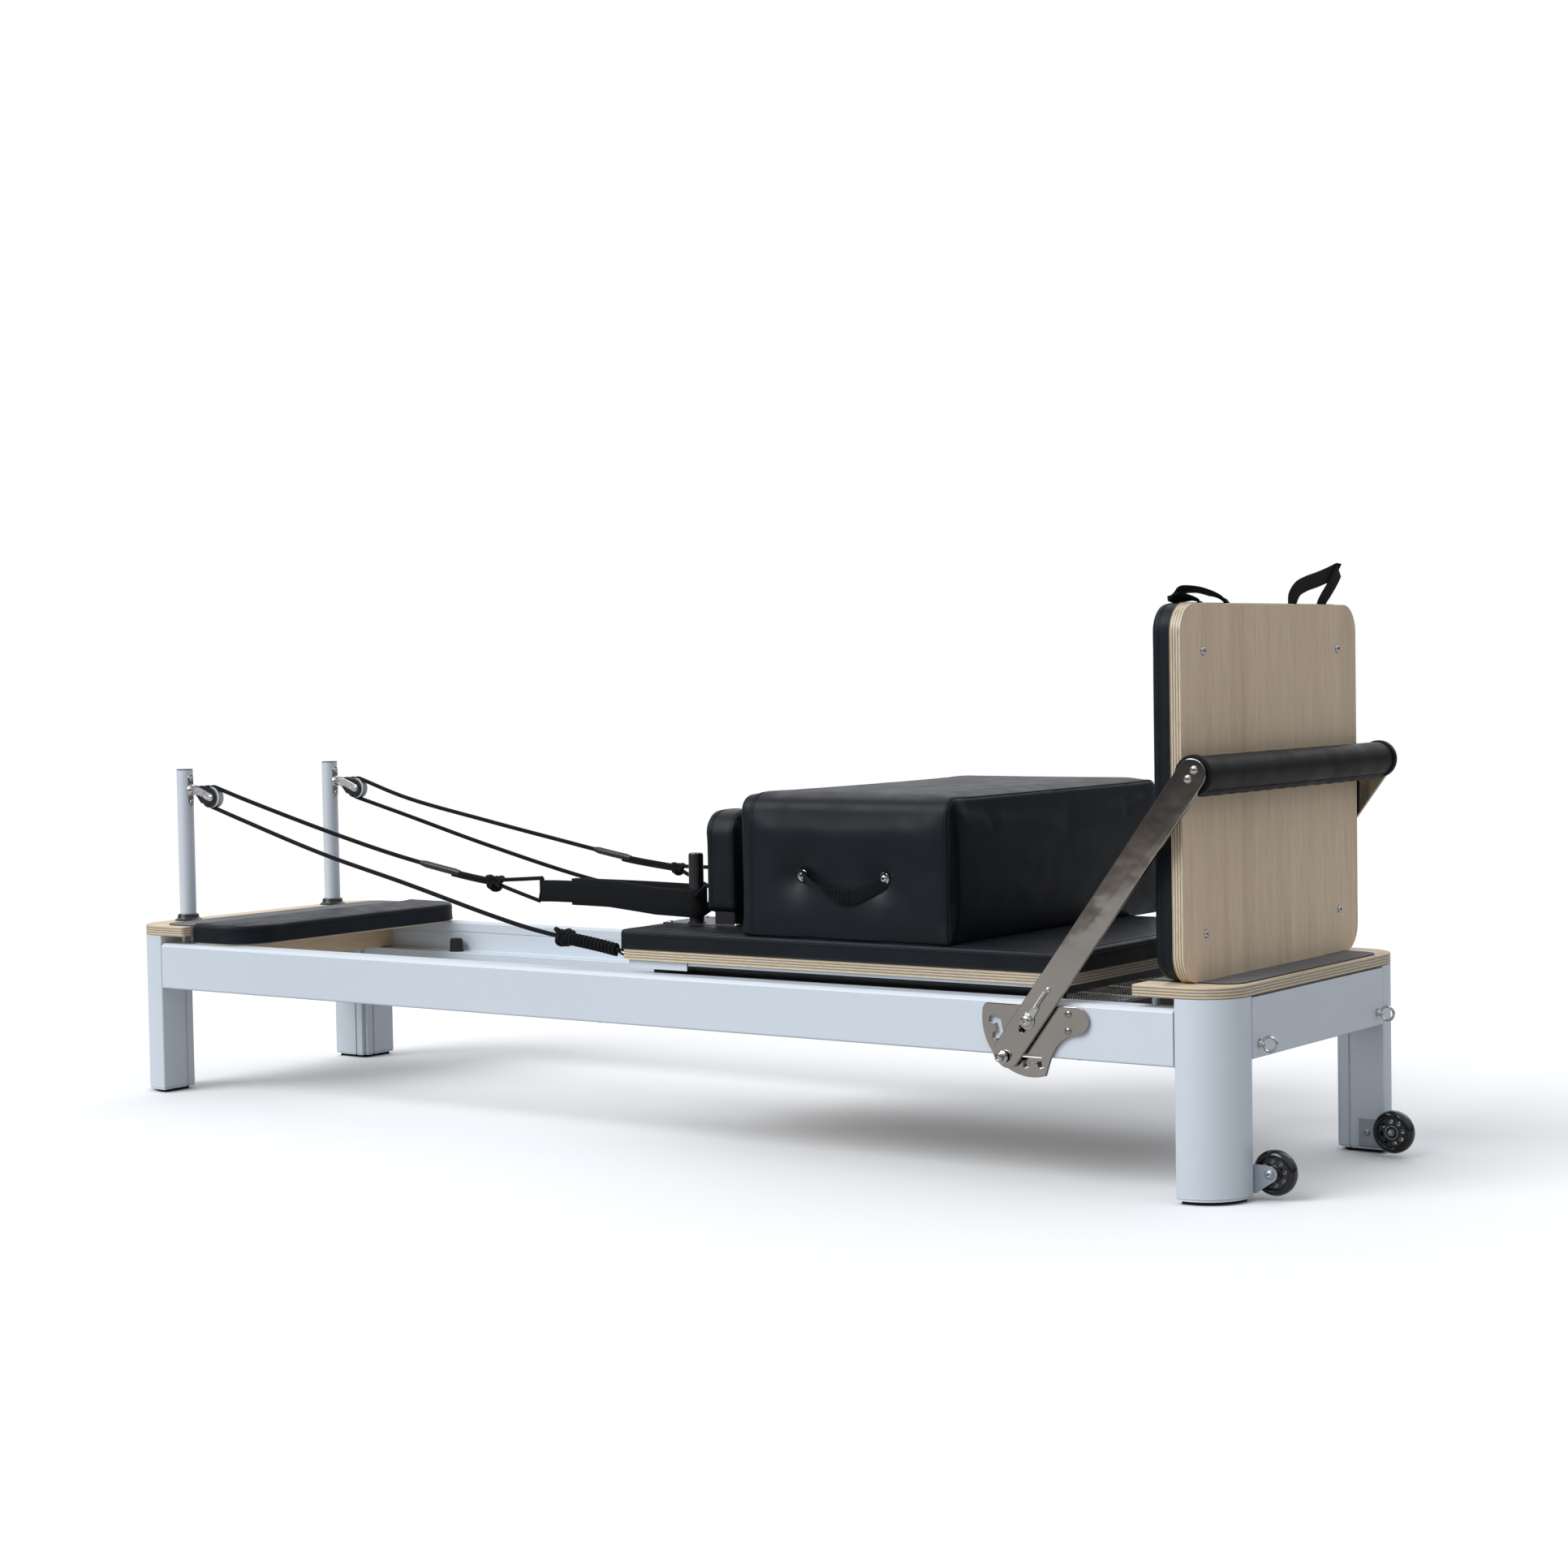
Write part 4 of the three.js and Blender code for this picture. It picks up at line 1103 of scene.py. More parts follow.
def legs():
    """Four legs with their rubber pads; the head end's are the foot end's, mirrored."""
    low, high = span("leg_foot_near")
    pad_low, pad_high = span("pad_foot_near")
    middle = (high.x + span("leg_head_near")[0].x) / 2
    shell = merged(prism(leg_outline("leg_foot_near"), low.z + 4.0, high.z, "z", 0.7),
                   prism(leg_outline("leg_foot_near", -0.5), low.z, low.z + 3.4, "z", 0.5))
    sole = prism(leg_outline("pad_foot_near"), pad_low.z, pad_high.z, "z", 1.2)
    ends = {"foot": (shell, sole), "head": (mirrored(shell, 0, middle), mirrored(sole, 0, middle))}
    for end, (leg, pad) in ends.items():
        pair(f"{end}_leg", leg, "aluminium", "frame", [f"leg_{end}_SIDE"])
        pair(f"{end}_leg_pad", pad, "rubber", "frame", [f"pad_{end}_SIDE"])


def rails():
    """The long rails with their ledge and grooves, and the rails across both ends."""
    low, high = span("side_rail_near")
    y0, z0, z1 = low.y, low.z, high.z
    inner, ledge, lip = y0 + 45, z0 + 31, -240
    profile = [*arc(y0 + 4, z0 + 4, 4, 180, 270, 5), (lip - 1, z0), (lip, z0 + 1), (lip, ledge - 1),
               (lip - 1, ledge), (lip - 12, ledge), (lip - 12, ledge - 2.2), (lip - 17, ledge - 2.2),
               (lip - 17, ledge), (inner + 1.5, ledge), (inner, ledge + 1.5), (inner, z1 - 22),
               (inner - 1.4, z1 - 22), (inner - 1.4, z1 - 18), (inner, z1 - 18), (inner, z1 - 1.2),
               (inner - 1.2, z1), (inner - 10, z1), (inner - 10, z1 - 1.3), (inner - 12.5, z1 - 1.3),
               (inner - 12.5, z1), (y0 + 6.5, z1), (y0 + 5.2, z1 - 0.35), (y0 + 0.5, z1 - 5.0),
               (y0, z1 - 6.4)]
    pair("long_rail", prism(profile, low.x + 1.4, high.x - 1.4, "x", 0.4, 1), "aluminium", "frame",
         ["side_rail_SIDE"])
    for end in ("foot", "head"):
        a, b = span(f"end_rail_{end}")
        outline = [*arc(a.x + 2.5, a.z + 2.5, 2.5, 180, 270, 4), *arc(b.x - 2.5, a.z + 2.5, 2.5, 270, 360, 4),
                   *arc(b.x - 2, b.z - 2, 2, 0, 90, 3), *arc(a.x + 2, b.z - 2, 2, 90, 180, 3)]
        piece(f"cross_rail_{end}", prism(outline, a.y + 0.6, b.y - 0.6, "y", 0.4, 1), "aluminium", "frame",
              [f"end_rail_{end}"])
    spacers(z0, z1)


def spacers(rail_low, rail_top):
    """Turned spacers between the rails and the decks, and the bolt ends under the rails."""
    y = -285
    tall = span("foot_deck")[0].z - rail_top
    parts = [lathe([(0, 0), (6, 0), (6, tall), (0, tall)], (x, y, rail_top), "z", 20) for x in (-1116, 1034)]
    for x in (-920, -60, 900):
        parts.append(hex_nut((x, y, rail_low), "-z", 10, 5))
        parts.append(washer((x, y, rail_low), "-z", 8, 3, 1.2))
    pair("rail_spacers", merged(*parts), "zinc", "frame")


def decks():
    """The plywood boards on both ends, the foot end's with openings for the jump board's tongues."""
    low, high = span("foot_deck")
    z0, z1 = low.z, high.z
    board_low, board_high = span("jump_board")
    outlines = [rounded(low.x, high.x, low.y, high.y, (6, LEG_RADIUS, LEG_RADIUS, 6), 16)]
    for side in (-1, 1):
        middle = side * TONGUE_Y
        outlines.append(rounded(board_low.x - 2, board_high.x + 2, middle - 42, middle + 42, 2, 3))
    foot = pierced(outlines, z0, z1, "z", DECK_BEVEL)
    piece("foot_deck_board", edged(foot, 2), ["wood_y", "ply_z"], "frame", ["foot_deck"], angle=30)
    low, high = span("head_deck")
    plan = rounded(low.x, high.x, low.y, high.y, (LEG_RADIUS, 6, 6, LEG_RADIUS), 16)
    head = prism(plan, z0, z1, "z", DECK_BEVEL)
    piece("head_deck_board", edged(head, 2), ["wood_y", "ply_z"], "frame", ["head_deck"], angle=30)
    deck_mats(z1)


def deck_mats(top):
    """Grey anti-slip mats let into the decks, with a raised dark border."""
    edge = span("foot_deck")[0].x
    heights = (top - 0.3, top + MAT_RISE, "z", 0.5)
    outlines = [rounded(edge + 1.5, 1157, -262, 252, (3, 34, 34, 3), 10)]
    for middle in (-TONGUE_Y, TONGUE_Y):
        outlines.append(rounded(1073, 1096, middle - 43, middle + 43, 2, 3))
    head = rounded(-1167, -1084, -298, 298, (40, 3, 3, 40), 10)
    piece("deck_mats", merged(pierced(outlines, *heights), prism(head, *heights)), "mat", "frame")
    borders = (rounded(edge + 1, 1158, -263, 253, (3, 35, 35, 3), 10),
               rounded(-1168, -1084, -299, 299, (41, 3, 3, 41), 10))
    rims = [tube(raised(border, top + 0.5, "z"), 1.2, 6, True) for border in borders]
    piece("deck_mat_rims", merged(*rims), "rubber", "frame", **ROUND)


def head_end():
    """The padded platform on a thin brown board that paints in the shadow and reflection under its rim, the
    board below it and the rails' bumpers.
    """
    low, high = span("end_platform")
    corners = (8, 85, 62, 8)
    base = low.z + 3.2
    pad = slab(Vector((low.x, low.y, base)), Vector((high.x, high.y, high.z - 1.2)), corners, (2.5, 6), 12)
    held = cushion("end_platform_pad", pad, "frame", "end_platform", 2.0, lambda co: co.z < base + 1)
    # The thin brown board under the pad is painted shade: it stands in for the brown shadow and reflection on
    # the rail top below the pad's edge.
    under = prism(rounded(low.x + 3, high.x - 4, low.y + 5, high.y - 5, corners, 14), low.z, base, "z", 0.6)
    piece("end_platform_shade_board", edged(under, 2), ["shade_board_brown", "ply_z"], "frame")
    plan = rounded(low.x, high.x, low.y, high.y, corners, 14)
    sewn(surface_of(held), ("end_platform_seams", "end_platform_stitches"), "frame",
         [(raised(plan, high.z - drop, "z"), 0.8) for drop in (8.5, 13.5)], [raised(plan, high.z - 11, "z")])
    low, high = span("head_crossboard")
    board = prism(rounded(low.y, high.y, low.z, high.z, 1.5, 3), low.x, high.x, "x", 0.8)
    piece("crossboard", edged(board, 0), ["wood_y", "ply_x"], "frame", ["head_crossboard"], "laminate")
    profile = [(0, 0), (14.5, 0), (15, 1), (13.5, 4), (13.2, 22), (12.0, 26), (9.5, 27), (4, 27), (3.6, 24),
               (0, 24)]
    bumper = lathe(profile, (-895.5, -255, span("side_rail_near")[0].z + 31), "z", 28)
    pair("rail_bumper", bumper, "rubber", "frame")


def foot_end():
    """Eyebolts through the foot end rail."""
    face = span("end_rail_foot")[1].x
    low, high = span("eyebolt_near")
    y, z = (low.y + high.y) / 2, (low.z + high.z) / 2
    ring = raised(circle(1187, z, 11.2, 40), y, "y")
    profile = [(0, 0), (7.2, 0), (7.2, 1.2), (5.0, 1.6), (5.0, 3.6), (3.4, 5.2), (3.0, 7.5), (0, 7.8)]
    collar = lathe(profile, (face + 0.2, y, z), "x", 24)
    bolt = merged(tube(ring, 2.3, 12, True), collar)
    pair("ring_bolt", bolt, "chrome", "frame", ["eyebolt_SIDE"], angle=50)


def transport_wheels():
    """Wheels on the foot end's brackets: glossy tyres, hubs with round holes, bearings and seals."""
    low, high = span("wheel_bracket_near")
    wheel_low, wheel_high = span("transport_wheel_near")
    x, z = (wheel_low.x + wheel_high.x) / 2, (wheel_low.z + wheel_high.z) / 2
    y0, y1 = wheel_low.y, wheel_high.y
    face = low.y
    plate = [(low.x, low.z), (1173, low.z), *arc(x, z, 12.5, -50, 95, 14), (1188, 55.5), (low.x, high.z)]
    axle = [(0, 0), (7, 0), (7, 2.4), (4, 2.6), (4, y1 - face), (0, y1 - face)]
    bracket = merged(pierced([plate, circle(1140, 34, 4.2, 16)], face, face + 3.5, "y", 0.5),
                     domed_screw((1140, face + 3.5, 34), "y", 6.0), lathe(axle, (x, face + 3.4, z), "y", 24),
                     hex_nut((x, y1 + 0.6, z), "y", 9.5, 3.2), domed_screw((x, face, z), "-y", 7.5),
                     domed_screw((x, y1 + 3.6, z), "y", 3.4))
    pair("caster_bracket", bracket, "zinc", "frame", ["wheel_bracket_SIDE"])

    def ring(half, start, end, segments=32):
        return lathe(both_ways(half, start, end), (x, 0, z), "y", segments, ring=True)
    tyre = ring([(24.5, 3.5), (25.5, 1.2), (27.5, 0.3), (31, 1.6), (33.6, 4.6), (34.9, 8.6)], y0, y1, 64)
    pair("caster_tyre", tyre, "gloss", "caster_SIDE", ["transport_wheel_SIDE"], angle=60)
    circles = [circle(x, z, 25.2, 64), circle(x, z, 11.2, 32)]
    for t in (math.radians(45 * k + 10) for k in range(8)):
        circles.append(circle(x + 18.2 * math.cos(t), z + 18.2 * math.sin(t), 4.1, 16))
    disc = pierced(circles, y0 + 4.5, y1 - 4.5, "y", 0.6)
    core = ring([(12.6, 4.4), (11.3, 4)], y0, y1, 40)
    pair("caster_hub", merged(disc, core), "hub", "caster_SIDE")
    faces = ((y0 + 2.2, y0 + 6), (y1 - 6, y1 - 2.2))
    races = [ring([(inner, 0), (outer, 0)], *face) for face in faces
             for inner, outer in ((10.0, 11.1), (4.1, 5.4))]
    pair("caster_bearing", merged(*races), "chrome", "caster_SIDE")
    seals = [ring([(5.2, 0.4), (10.2, 0.4)], *face) for face in faces]
    pair("caster_seal", merged(*seals), "rubber", "caster_SIDE", slot="wheel_plastic")


# ---------------------------------------------------------------- posts and pulleys
POST = {"x": -1196.5, "y": -ROPE["post_y"], "radius": 16}
SADDLE_Z = 588


def posts():
    """Riser posts with their caps, collars, saddle plates and through bolts."""
    radius = POST["radius"]
    foot = (POST["x"], POST["y"], 0)
    deck = span("head_deck")[1].z
    top = span("riser_post_near")[1].z
    shell = [(0, deck), (radius, deck), (radius, top - 2.6), (radius - 0.5, top - 2.2), (0, top - 2.2)]
    pair("post_tube", lathe(shell, foot, "z", 48), "aluminium", "frame", ["riser_post_SIDE"])
    cap = [(0, top - 2.2), (radius - 0.3, top - 2.2), (radius, top - 1.6), (radius, top - 0.5),
           (radius - 1, top), (0, top + 0.2)]
    pair("post_cap", lathe(cap, foot, "z", 48), "grey_cap", "frame")
    collar = [(radius + 0.2, 0), (26.5, 0), (26.5, 1.8), (25.2, 2.6), (22.2, 4.2), (21.0, 7.5), (20.7, 11.0),
              (19.6, 12.6), (17.6, 13.2), (radius + 0.2, 13.0)]
    collar = lathe(collar, (POST["x"], POST["y"], deck + 0.1), "z", 48, ring=True)
    pair("post_collar", collar, "black_steel", "frame", angle=50)
    saddle()


def saddle():
    """The chrome eye plate with its dome, and the bolts that hold it through the post."""
    y, z = POST["y"], SADDLE_Z
    back, face = POST["x"] - POST["radius"], POST["x"] + POST["radius"]
    dome = [(0, 0), (11.6, 0), (12.0, 1.2), (11.3, 4.4), (9.4, 7.6), (7.0, 9.6), (6.0, 10.4), (0, 10.8)]
    parts = [prism(rounded(y - 5.8, y + 5.8, z - 31, z + 31, 5.6, 8), face - 1.5, face + 2.4, "x", 0.8),
             lathe(dome, (face + 1.6, y, z), "x", 32)]
    for rise in (2, 6, 10):
        ridge = raised(circle(y, z, 11.6 - 0.42 * rise, 36), face + 2.6 + 0.62 * rise, "x")
        parts.append(tube(ridge, 0.7, 6, True))
    for bolt_z in (z - 23, z + 23):
        parts.append(domed_screw((face + 2.4, y, bolt_z), "x", 4.4))
        parts.append(hex_nut((back, y, bolt_z), "-x", 8, 3.4))
    for z0 in (580.0, 593.3):
        lug = rounded(face + 1, -1160.5, y - 6.4, y + 6.4, (1, 5.4, 5.4, 1), 6)
        parts.append(prism(lug, z0, z0 + 2.8, "z", 0.5))
    pin = [(0, -9), (4.4, -9), (4.4, -8), (2.4, -7.8), (2.4, 7.8), (4.4, 8), (4.4, 9.2), (3, 10), (0, 10)]
    parts.append(lathe(pin, (-1166.5, y, z), "z", 20))
    pair("post_saddle", merged(*parts), "chrome", "frame", angle=45)


def pulleys():
    """Each pulley's black cheeks, the steel strap that holds it and its sheave."""
    y = POST["y"]
    sx, sz = SHEAVE_CENTRE
    x0 = -1156.5
    cheek = [(x0, 581.0), (x0 + 16, 564), *arc(sx - 5.5, sz, 19.5, 215, 455, 30), (x0 + 20, 597.5),
             (x0, 595.0)]
    parts = [prism(cheek, y + a, y + a + 2.4, "y", 0.9) for a in (-9.3, 6.9)]
    parts.append(prism(rounded(x0, x0 + 9.5, y - 8.6, y + 8.6, 2, 4), 581.5, 594.5, "z", 0.8))
    pair("pulley_cheeks", merged(*parts), "black_steel", "pulley_SIDE", ["pulley_block_SIDE"])
    strap = [(x0 - 2, 580.4), (x0 + 12, 579.0), (sx - 6, sz - 6.2), *arc(sx, sz, 7.0, -100, 80, 12),
             (x0 + 14, 593.5), (x0 - 2, 595.6)]
    steel = [prism(strap, y + a, y + a + 1.3, "y", 0.4) for a in (-10.8, 9.5)]
    steel.append(prism(rounded(x0 - 3.6, x0 - 1.6, y - 10.8, y + 10.8, 0.6, 3), 580.4, 595.6, "z", 0.4))
    tang = rounded(-1171.8, x0 - 1, y - 4.6, y + 4.6, (4.4, 1, 1, 4.4), 6)
    steel.append(prism(tang, 583.4, 592.6, "z", 0.9))
    steel.append(domed_screw((sx, y - 10.8, sz), "-y", 4.6))
    steel.append(hex_nut((sx, y + 10.8, sz), "y", 8, 3.0))
    steel.append(lathe([(0, -9), (3, -9), (3, 9), (0, 9)], (sx, y, sz), "y", 20))
    pair("pulley_strap", merged(*steel), "bright_zinc", "pulley_SIDE")
    half, rim, groove = 6.4, 20.4, 15.6
    side = [(3.2, 0), (8, 0), (8.4, 0.9), (16.8, 0.9), (17.4, 0), (rim, 0), (rim + 0.2, 0.8),
            (rim - 1.2, 2.0), (groove + 0.8, half - 2.0)]
    sheave = lathe(both_ways(side, -half, half, [(groove, 0)]), (sx, y, sz), "y", 48, ring=True)
    pair("pulley_sheave", sheave, "sheave", "pulley_wheel_SIDE", ["sheave_SIDE"])


# ---------------------------------------------------------------- carriage
CARRIAGE_CORNER = 7
PEG = {"x": 66.5, "y": -170}


def carriage():
    low, high = span("carriage_deck")
    board = prism(rounded(low.x, high.x, low.y, high.y, CARRIAGE_CORNER - 2, 8), low.z, high.z, "z", 1.0)
    piece("carriage_board", edged(board, 2), ["wood_y", "ply_z"], "carriage", ["carriage_deck"], angle=30)
    carriage_cushion()
    rollers()
    clips()
    side_strips()
    dress("carriage_chassis", "black_steel")


def side_strips():
    """Light strips along the carriage's underside, in two lengths, near its edges."""
    low, high = span("carriage_deck")
    under = low.z - 0.3
    parts = [prism(rounded(-290, -288, under - tall, under, 0.5, 2), a, b, "x", 0.3)
             for a, b, tall in ((low.x + 9, 136, 15), (139, high.x - 30, 6))]
    pair("carriage_strip", merged(*parts), "aluminium", "carriage")


def carriage_cushion():
    """The carriage's cushion, with a seam round its side and another on its top."""
    low, high = span("carriage_pad")
    top = high.z + 1.0
    grow = Vector((3.5, 2.5, 0))
    pad = slab(low - grow, Vector((high.x, high.y, top)) + grow, [CARRIAGE_CORNER] * 4, (3, 7), 16)
    held = cushion("carriage_cushion", pad, "carriage", "carriage_pad", 1.6, lambda co: co.z < low.z + 1)

    def line(inset, z):
        corner = CARRIAGE_CORNER - inset * 0.6
        plan = rounded(low.x + inset, high.x - inset, low.y + inset, high.y - inset, corner, 8)
        return raised(plan, z, "z")
    sewn(surface_of(held), ("carriage_cushion_seams", "carriage_cushion_stitches"), "carriage",
         [(line(0, top - 8.5), 0.9), (line(7.5, top), 0.8)], [line(0, top - 11.5), line(10.5, top)])


def rollers():
    """The wheels that carry the carriage on the rails."""
    for end in ("head", "foot"):
        low, high = span(f"carriage_wheel_{end}_near")
        x, z, r = (low.x + high.x) / 2, (low.z + high.z) / 2, (high.x - low.x) / 2
        half = [(4.1, 1), (12, 1), (12.6, 2.2), (18.6, 2.2), (19.2, 0), (r - 1, 0), (r, 1.2)]
        wheel = lathe(both_ways(half, low.y, high.y), (x, 0, z), "y", 40, ring=True)
        pair(f"carriage_roller_{end}", wheel, "sheave", f"roller_{end}_SIDE", [f"carriage_wheel_{end}_SIDE"],
             slot="rubber")


def clips():
    """The rope's snap hook and its eye screw at the carriage corner."""
    x, y, z = -8.5, -281, 327
    hook = [(x - 4, y - 4, z), (x + 3, y - 5.5, z - 1), (x + 11, y - 4, z - 3), (x + 14, y, z - 3.5),
            (x + 11, y + 4, z - 3), (x + 3, y + 5.5, z - 1), (x - 4, y + 4, z), (x - 6.5, y, z + 0.5)]
    screw = [(0, 0), (5.5, 0), (5.5, 1.5), (3, 2), (3, 8), (0, 8)]
    parts = [tube(raised(circle(x, z, 6, 28), y, "y"), 1.9, 10, True), tube(spline(hook, 2), 1.8, 10, True),
             lathe(screw, (x + 14, y, z - 3.5), "-x", 20)]
    pair("rope_clip", merged(*parts), "chrome", "carriage", angle=60)


def shoulder_rests():
    """Padded rests with seams along both faces, on their brackets."""
    low, high = span("shoulder_rest_near")
    corners = (12, 12, 40, 40)
    body = slab(low - Vector((4.5, 1.0, -0.6)), high - Vector((1.2, 1.2, 1.2)), corners, (5, 5), 9, "x")
    outline = rounded(low.y, high.y, low.z, high.z, corners, 10)
    for side, shape in {"near": body, "far": mirrored(body)}.items():
        held = cushion(f"shoulder_cushion_{side}", shape, "carriage", f"shoulder_rest_{side}", 1.8,
                       lambda co: co.z < low.z + 2)
        flipped = [(-SIDES[side] * y, z) for y, z in outline]
        seams = [(raised(flipped, x, "x"), 0.9) for x in (low.x + 6, high.x - 6)]
        rows = [raised(flipped, x, "x") for x in (low.x + 9.5, high.x - 9.5)]
        names = (f"shoulder_seams_{side}", f"shoulder_stitches_{side}")
        sewn(surface_of(held), names, "carriage", seams, rows, 5.5)
    shoulder_brackets(low, high)


def shoulder_brackets(rest_low, rest_high):
    """The rest's base plate with its block, the peg for the hand strap and their screws."""
    low, high = span("shoulder_bracket_near")
    base, face, tall = low.z, low.z + 3.5, high.z - low.z
    plate = prism(rounded(low.x, high.x, low.y, high.y, 8, 6), base, face, "z", 0.7)
    inner = rounded(rest_low.x + 6, rest_high.x - 6, rest_low.y + 7, rest_high.y - 7, 5, 5)
    block = prism(inner, face, rest_low.z + 1.5, "z", 1.2)
    peg = lathe([(0, 3), (16, 3), (16, 5.2), (13.2, 6), (13, 7), (13, tall - 3.5), (11.6, tall - 0.6),
                 (10.2, tall), (0, tall)], (PEG["x"], PEG["y"], base), "z", 40)
    screws = [domed_screw((x, y, face), "z", 5) for x in (low.x + 12, high.x - 10)
              for y in (low.y + 12, high.y - 12)]
    pair("shoulder_base", merged(plate, block, peg), "black_steel", "carriage", ["shoulder_bracket_SIDE"])
    pair("shoulder_screws", merged(*screws), "chrome", "carriage")


STRAP = {"low": 392.0, "high": 439.0, "tail": 39, "pad": 48, "turn": 16.2, "overlap": 80}
UPRIGHT = (0, 0, 1)


def hand_strap(side):
    """A webbing tail sewn to a padded loop that hangs round the peg."""
    sign, end, y, peg = SIDES[side], STRAP_END[side], STRAP_Y, PEG["x"]
    padded = end + STRAP["overlap"]
    middle = (STRAP["low"] + STRAP["high"]) / 2
    tail = []
    for offset in (-1.7, 1.7):
        line = [(end + 3, y + offset, middle - 1), (end + 40, y + offset, middle),
                (padded + 12, y + offset * 1.6, middle)]
        tail.append(ribbon(spline(on_side(line, side), 6), UPRIGHT, STRAP["tail"], 2.6))
    fold = on_side([(end + 6, y - 1.7, middle), (end - 1, y, middle), (end + 6, y + 1.7, middle)], side)
    tail.append(ribbon(spline(fold, 2), UPRIGHT, STRAP["tail"], 2.6))
    piece(f"strap_tail_{side}", merged(*tail), "webbing", "carriage", angle=50, flat=False)
    half_way = 0.5 * (padded + peg) + 40
    loop = [(padded, y - 4.2), (padded + 40, y - 5.5), (padded + 120, y - 10), (half_way, y - 13),
            *arc(peg, y, STRAP["turn"], -92, 92, 20),
            (half_way, y + 13), (padded + 120, y + 10), (padded + 40, y + 5.5), (padded, y + 4.2)]
    loop = [(x, out, middle + 0.6 - 3.5 * max(0, (x - padded) / (peg - padded)) ** 2) for x, out in loop]
    line = []
    for p in spline(on_side(loop, side), 5):
        sag = 3.4 * max(0.0, min(1.0, (p.x - padded - 90) / 110)) * (sign * p.y > y)
        line.append(p - Vector((0, 0, 2.2 * sag)))
    made = piece(f"strap_pad_{side}", ribbon(line, UPRIGHT, STRAP["pad"], 5.4), "webbing", "carriage",
                 [f"strap_{side}"], angle=55, flat=False)
    tree = surface_of(made)
    sewing = []
    for dz in (-19, 19):
        outside = [(p.x, p.y + sign * (-3 if p.y * sign < y else 3), p.z + dz) for p in line[4:-4]]
        sewing.append(stitches(tree, outside, 5.5, closed=False))
    band = on_side([(padded + 3, y - 8.2, middle - 1.5), (padded + 11, y - 8.6, middle - 1.5)], side)
    sewing.append(ribbon(band, UPRIGHT, 47, 1.2))
    piece(f"strap_seam_{side}", merged(*sewing), "thread", "carriage", slot="webbing", angle=60, flat=False)


def springs():
    """Steel springs that stretch between the carriage's hook bar and the frame's bar."""
    dress("spring_bar", "black_steel")
    hook = 24
    for number in range(1, 5):
        a, b = span(f"spring_{number}")
        y, z = (a.y + b.y) / 2, (a.z + b.z) / 2
        path = [Vector((a.x + (b.x - a.x) * t / 8 * 0.92 + hook, y, z)) for t in range(9)]
        parts = [tube(helix(path, 9.6, 118, 10), 1.35, 6)]
        for x, reach in ((a.x + hook, hook), (b.x - hook, -hook)):
            bend = [(x, y, z + 9.6), (x - reach * 0.25, y, z + 4), (x - reach * 0.5, y, z),
                    (x - reach * 0.95, y, z)]
            parts.append(tube(spline(bend, 3), 1.5, 8))
        obj = piece(f"pull_spring_{number}", merged(*parts), "chrome", **ROUND)
        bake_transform(obj)
        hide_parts(f"spring_{number}")


# ---------------------------------------------------------------- sitting box
BOX_SCREWS = {"x": (380.0, 542.0), "z": 471}


def sitting_box():
    """The upholstered box with piping, stitches and a handle on each end."""
    low, high = span("box")
    form = slab(low + Vector((-7, 1, 0.3)), high - Vector((3, 3, 1)), (10, 10, 28, 28), (8, 8), 14, "x")
    obj = cushion("sitting_box_cover", form, "sitting_box", "box", 4.5, lambda co: co.z < low.z + 3,
                  lambda cover: dimples(cover, low, high))
    tree = surface_of(obj)
    outline = rounded(low.y - 4, high.y + 4, low.z - 4, high.z + 4, 28, 10)
    sewn(tree, ("sitting_box_piping", "sitting_box_stitches"), "sitting_box",
         [(raised(outline, high.x - 7.5, "x"), 1.5, 0.2), (raised(outline, low.x + 16, "x"), 1.0)],
         [raised(outline, high.x - 13, "x"), raised(outline, low.x + 21, "x")], 5.5)
    box_handle("near", low.y, tree)
    box_handle("far", high.y, tree)


def dimples(obj, low, high):
    """Presses the cover in round the handle's screws, and puckers it along the bottom."""
    for v in obj.data.vertices:
        co = millimetres(v.co)
        for face, sign in ((low.y, 1), (high.y, -1)):
            if abs(co.y - face) > 30:
                continue
            for x in BOX_SCREWS["x"]:
                away = math.hypot(co.x - x, (co.z - BOX_SCREWS["z"]) * 0.9)
                v.co.y += sign * MM * (17.0 * math.exp(-(away / 24) ** 2) + 6.0 * math.exp(-(away / 58) ** 2))
            creases = math.sin(co.x / 17.0) * math.sin(co.x / 41.0 + 1.3) * 1.6
            v.co.y += sign * MM * 1.2 * creases * math.exp(-((co.z - low.z) / 26) ** 2)


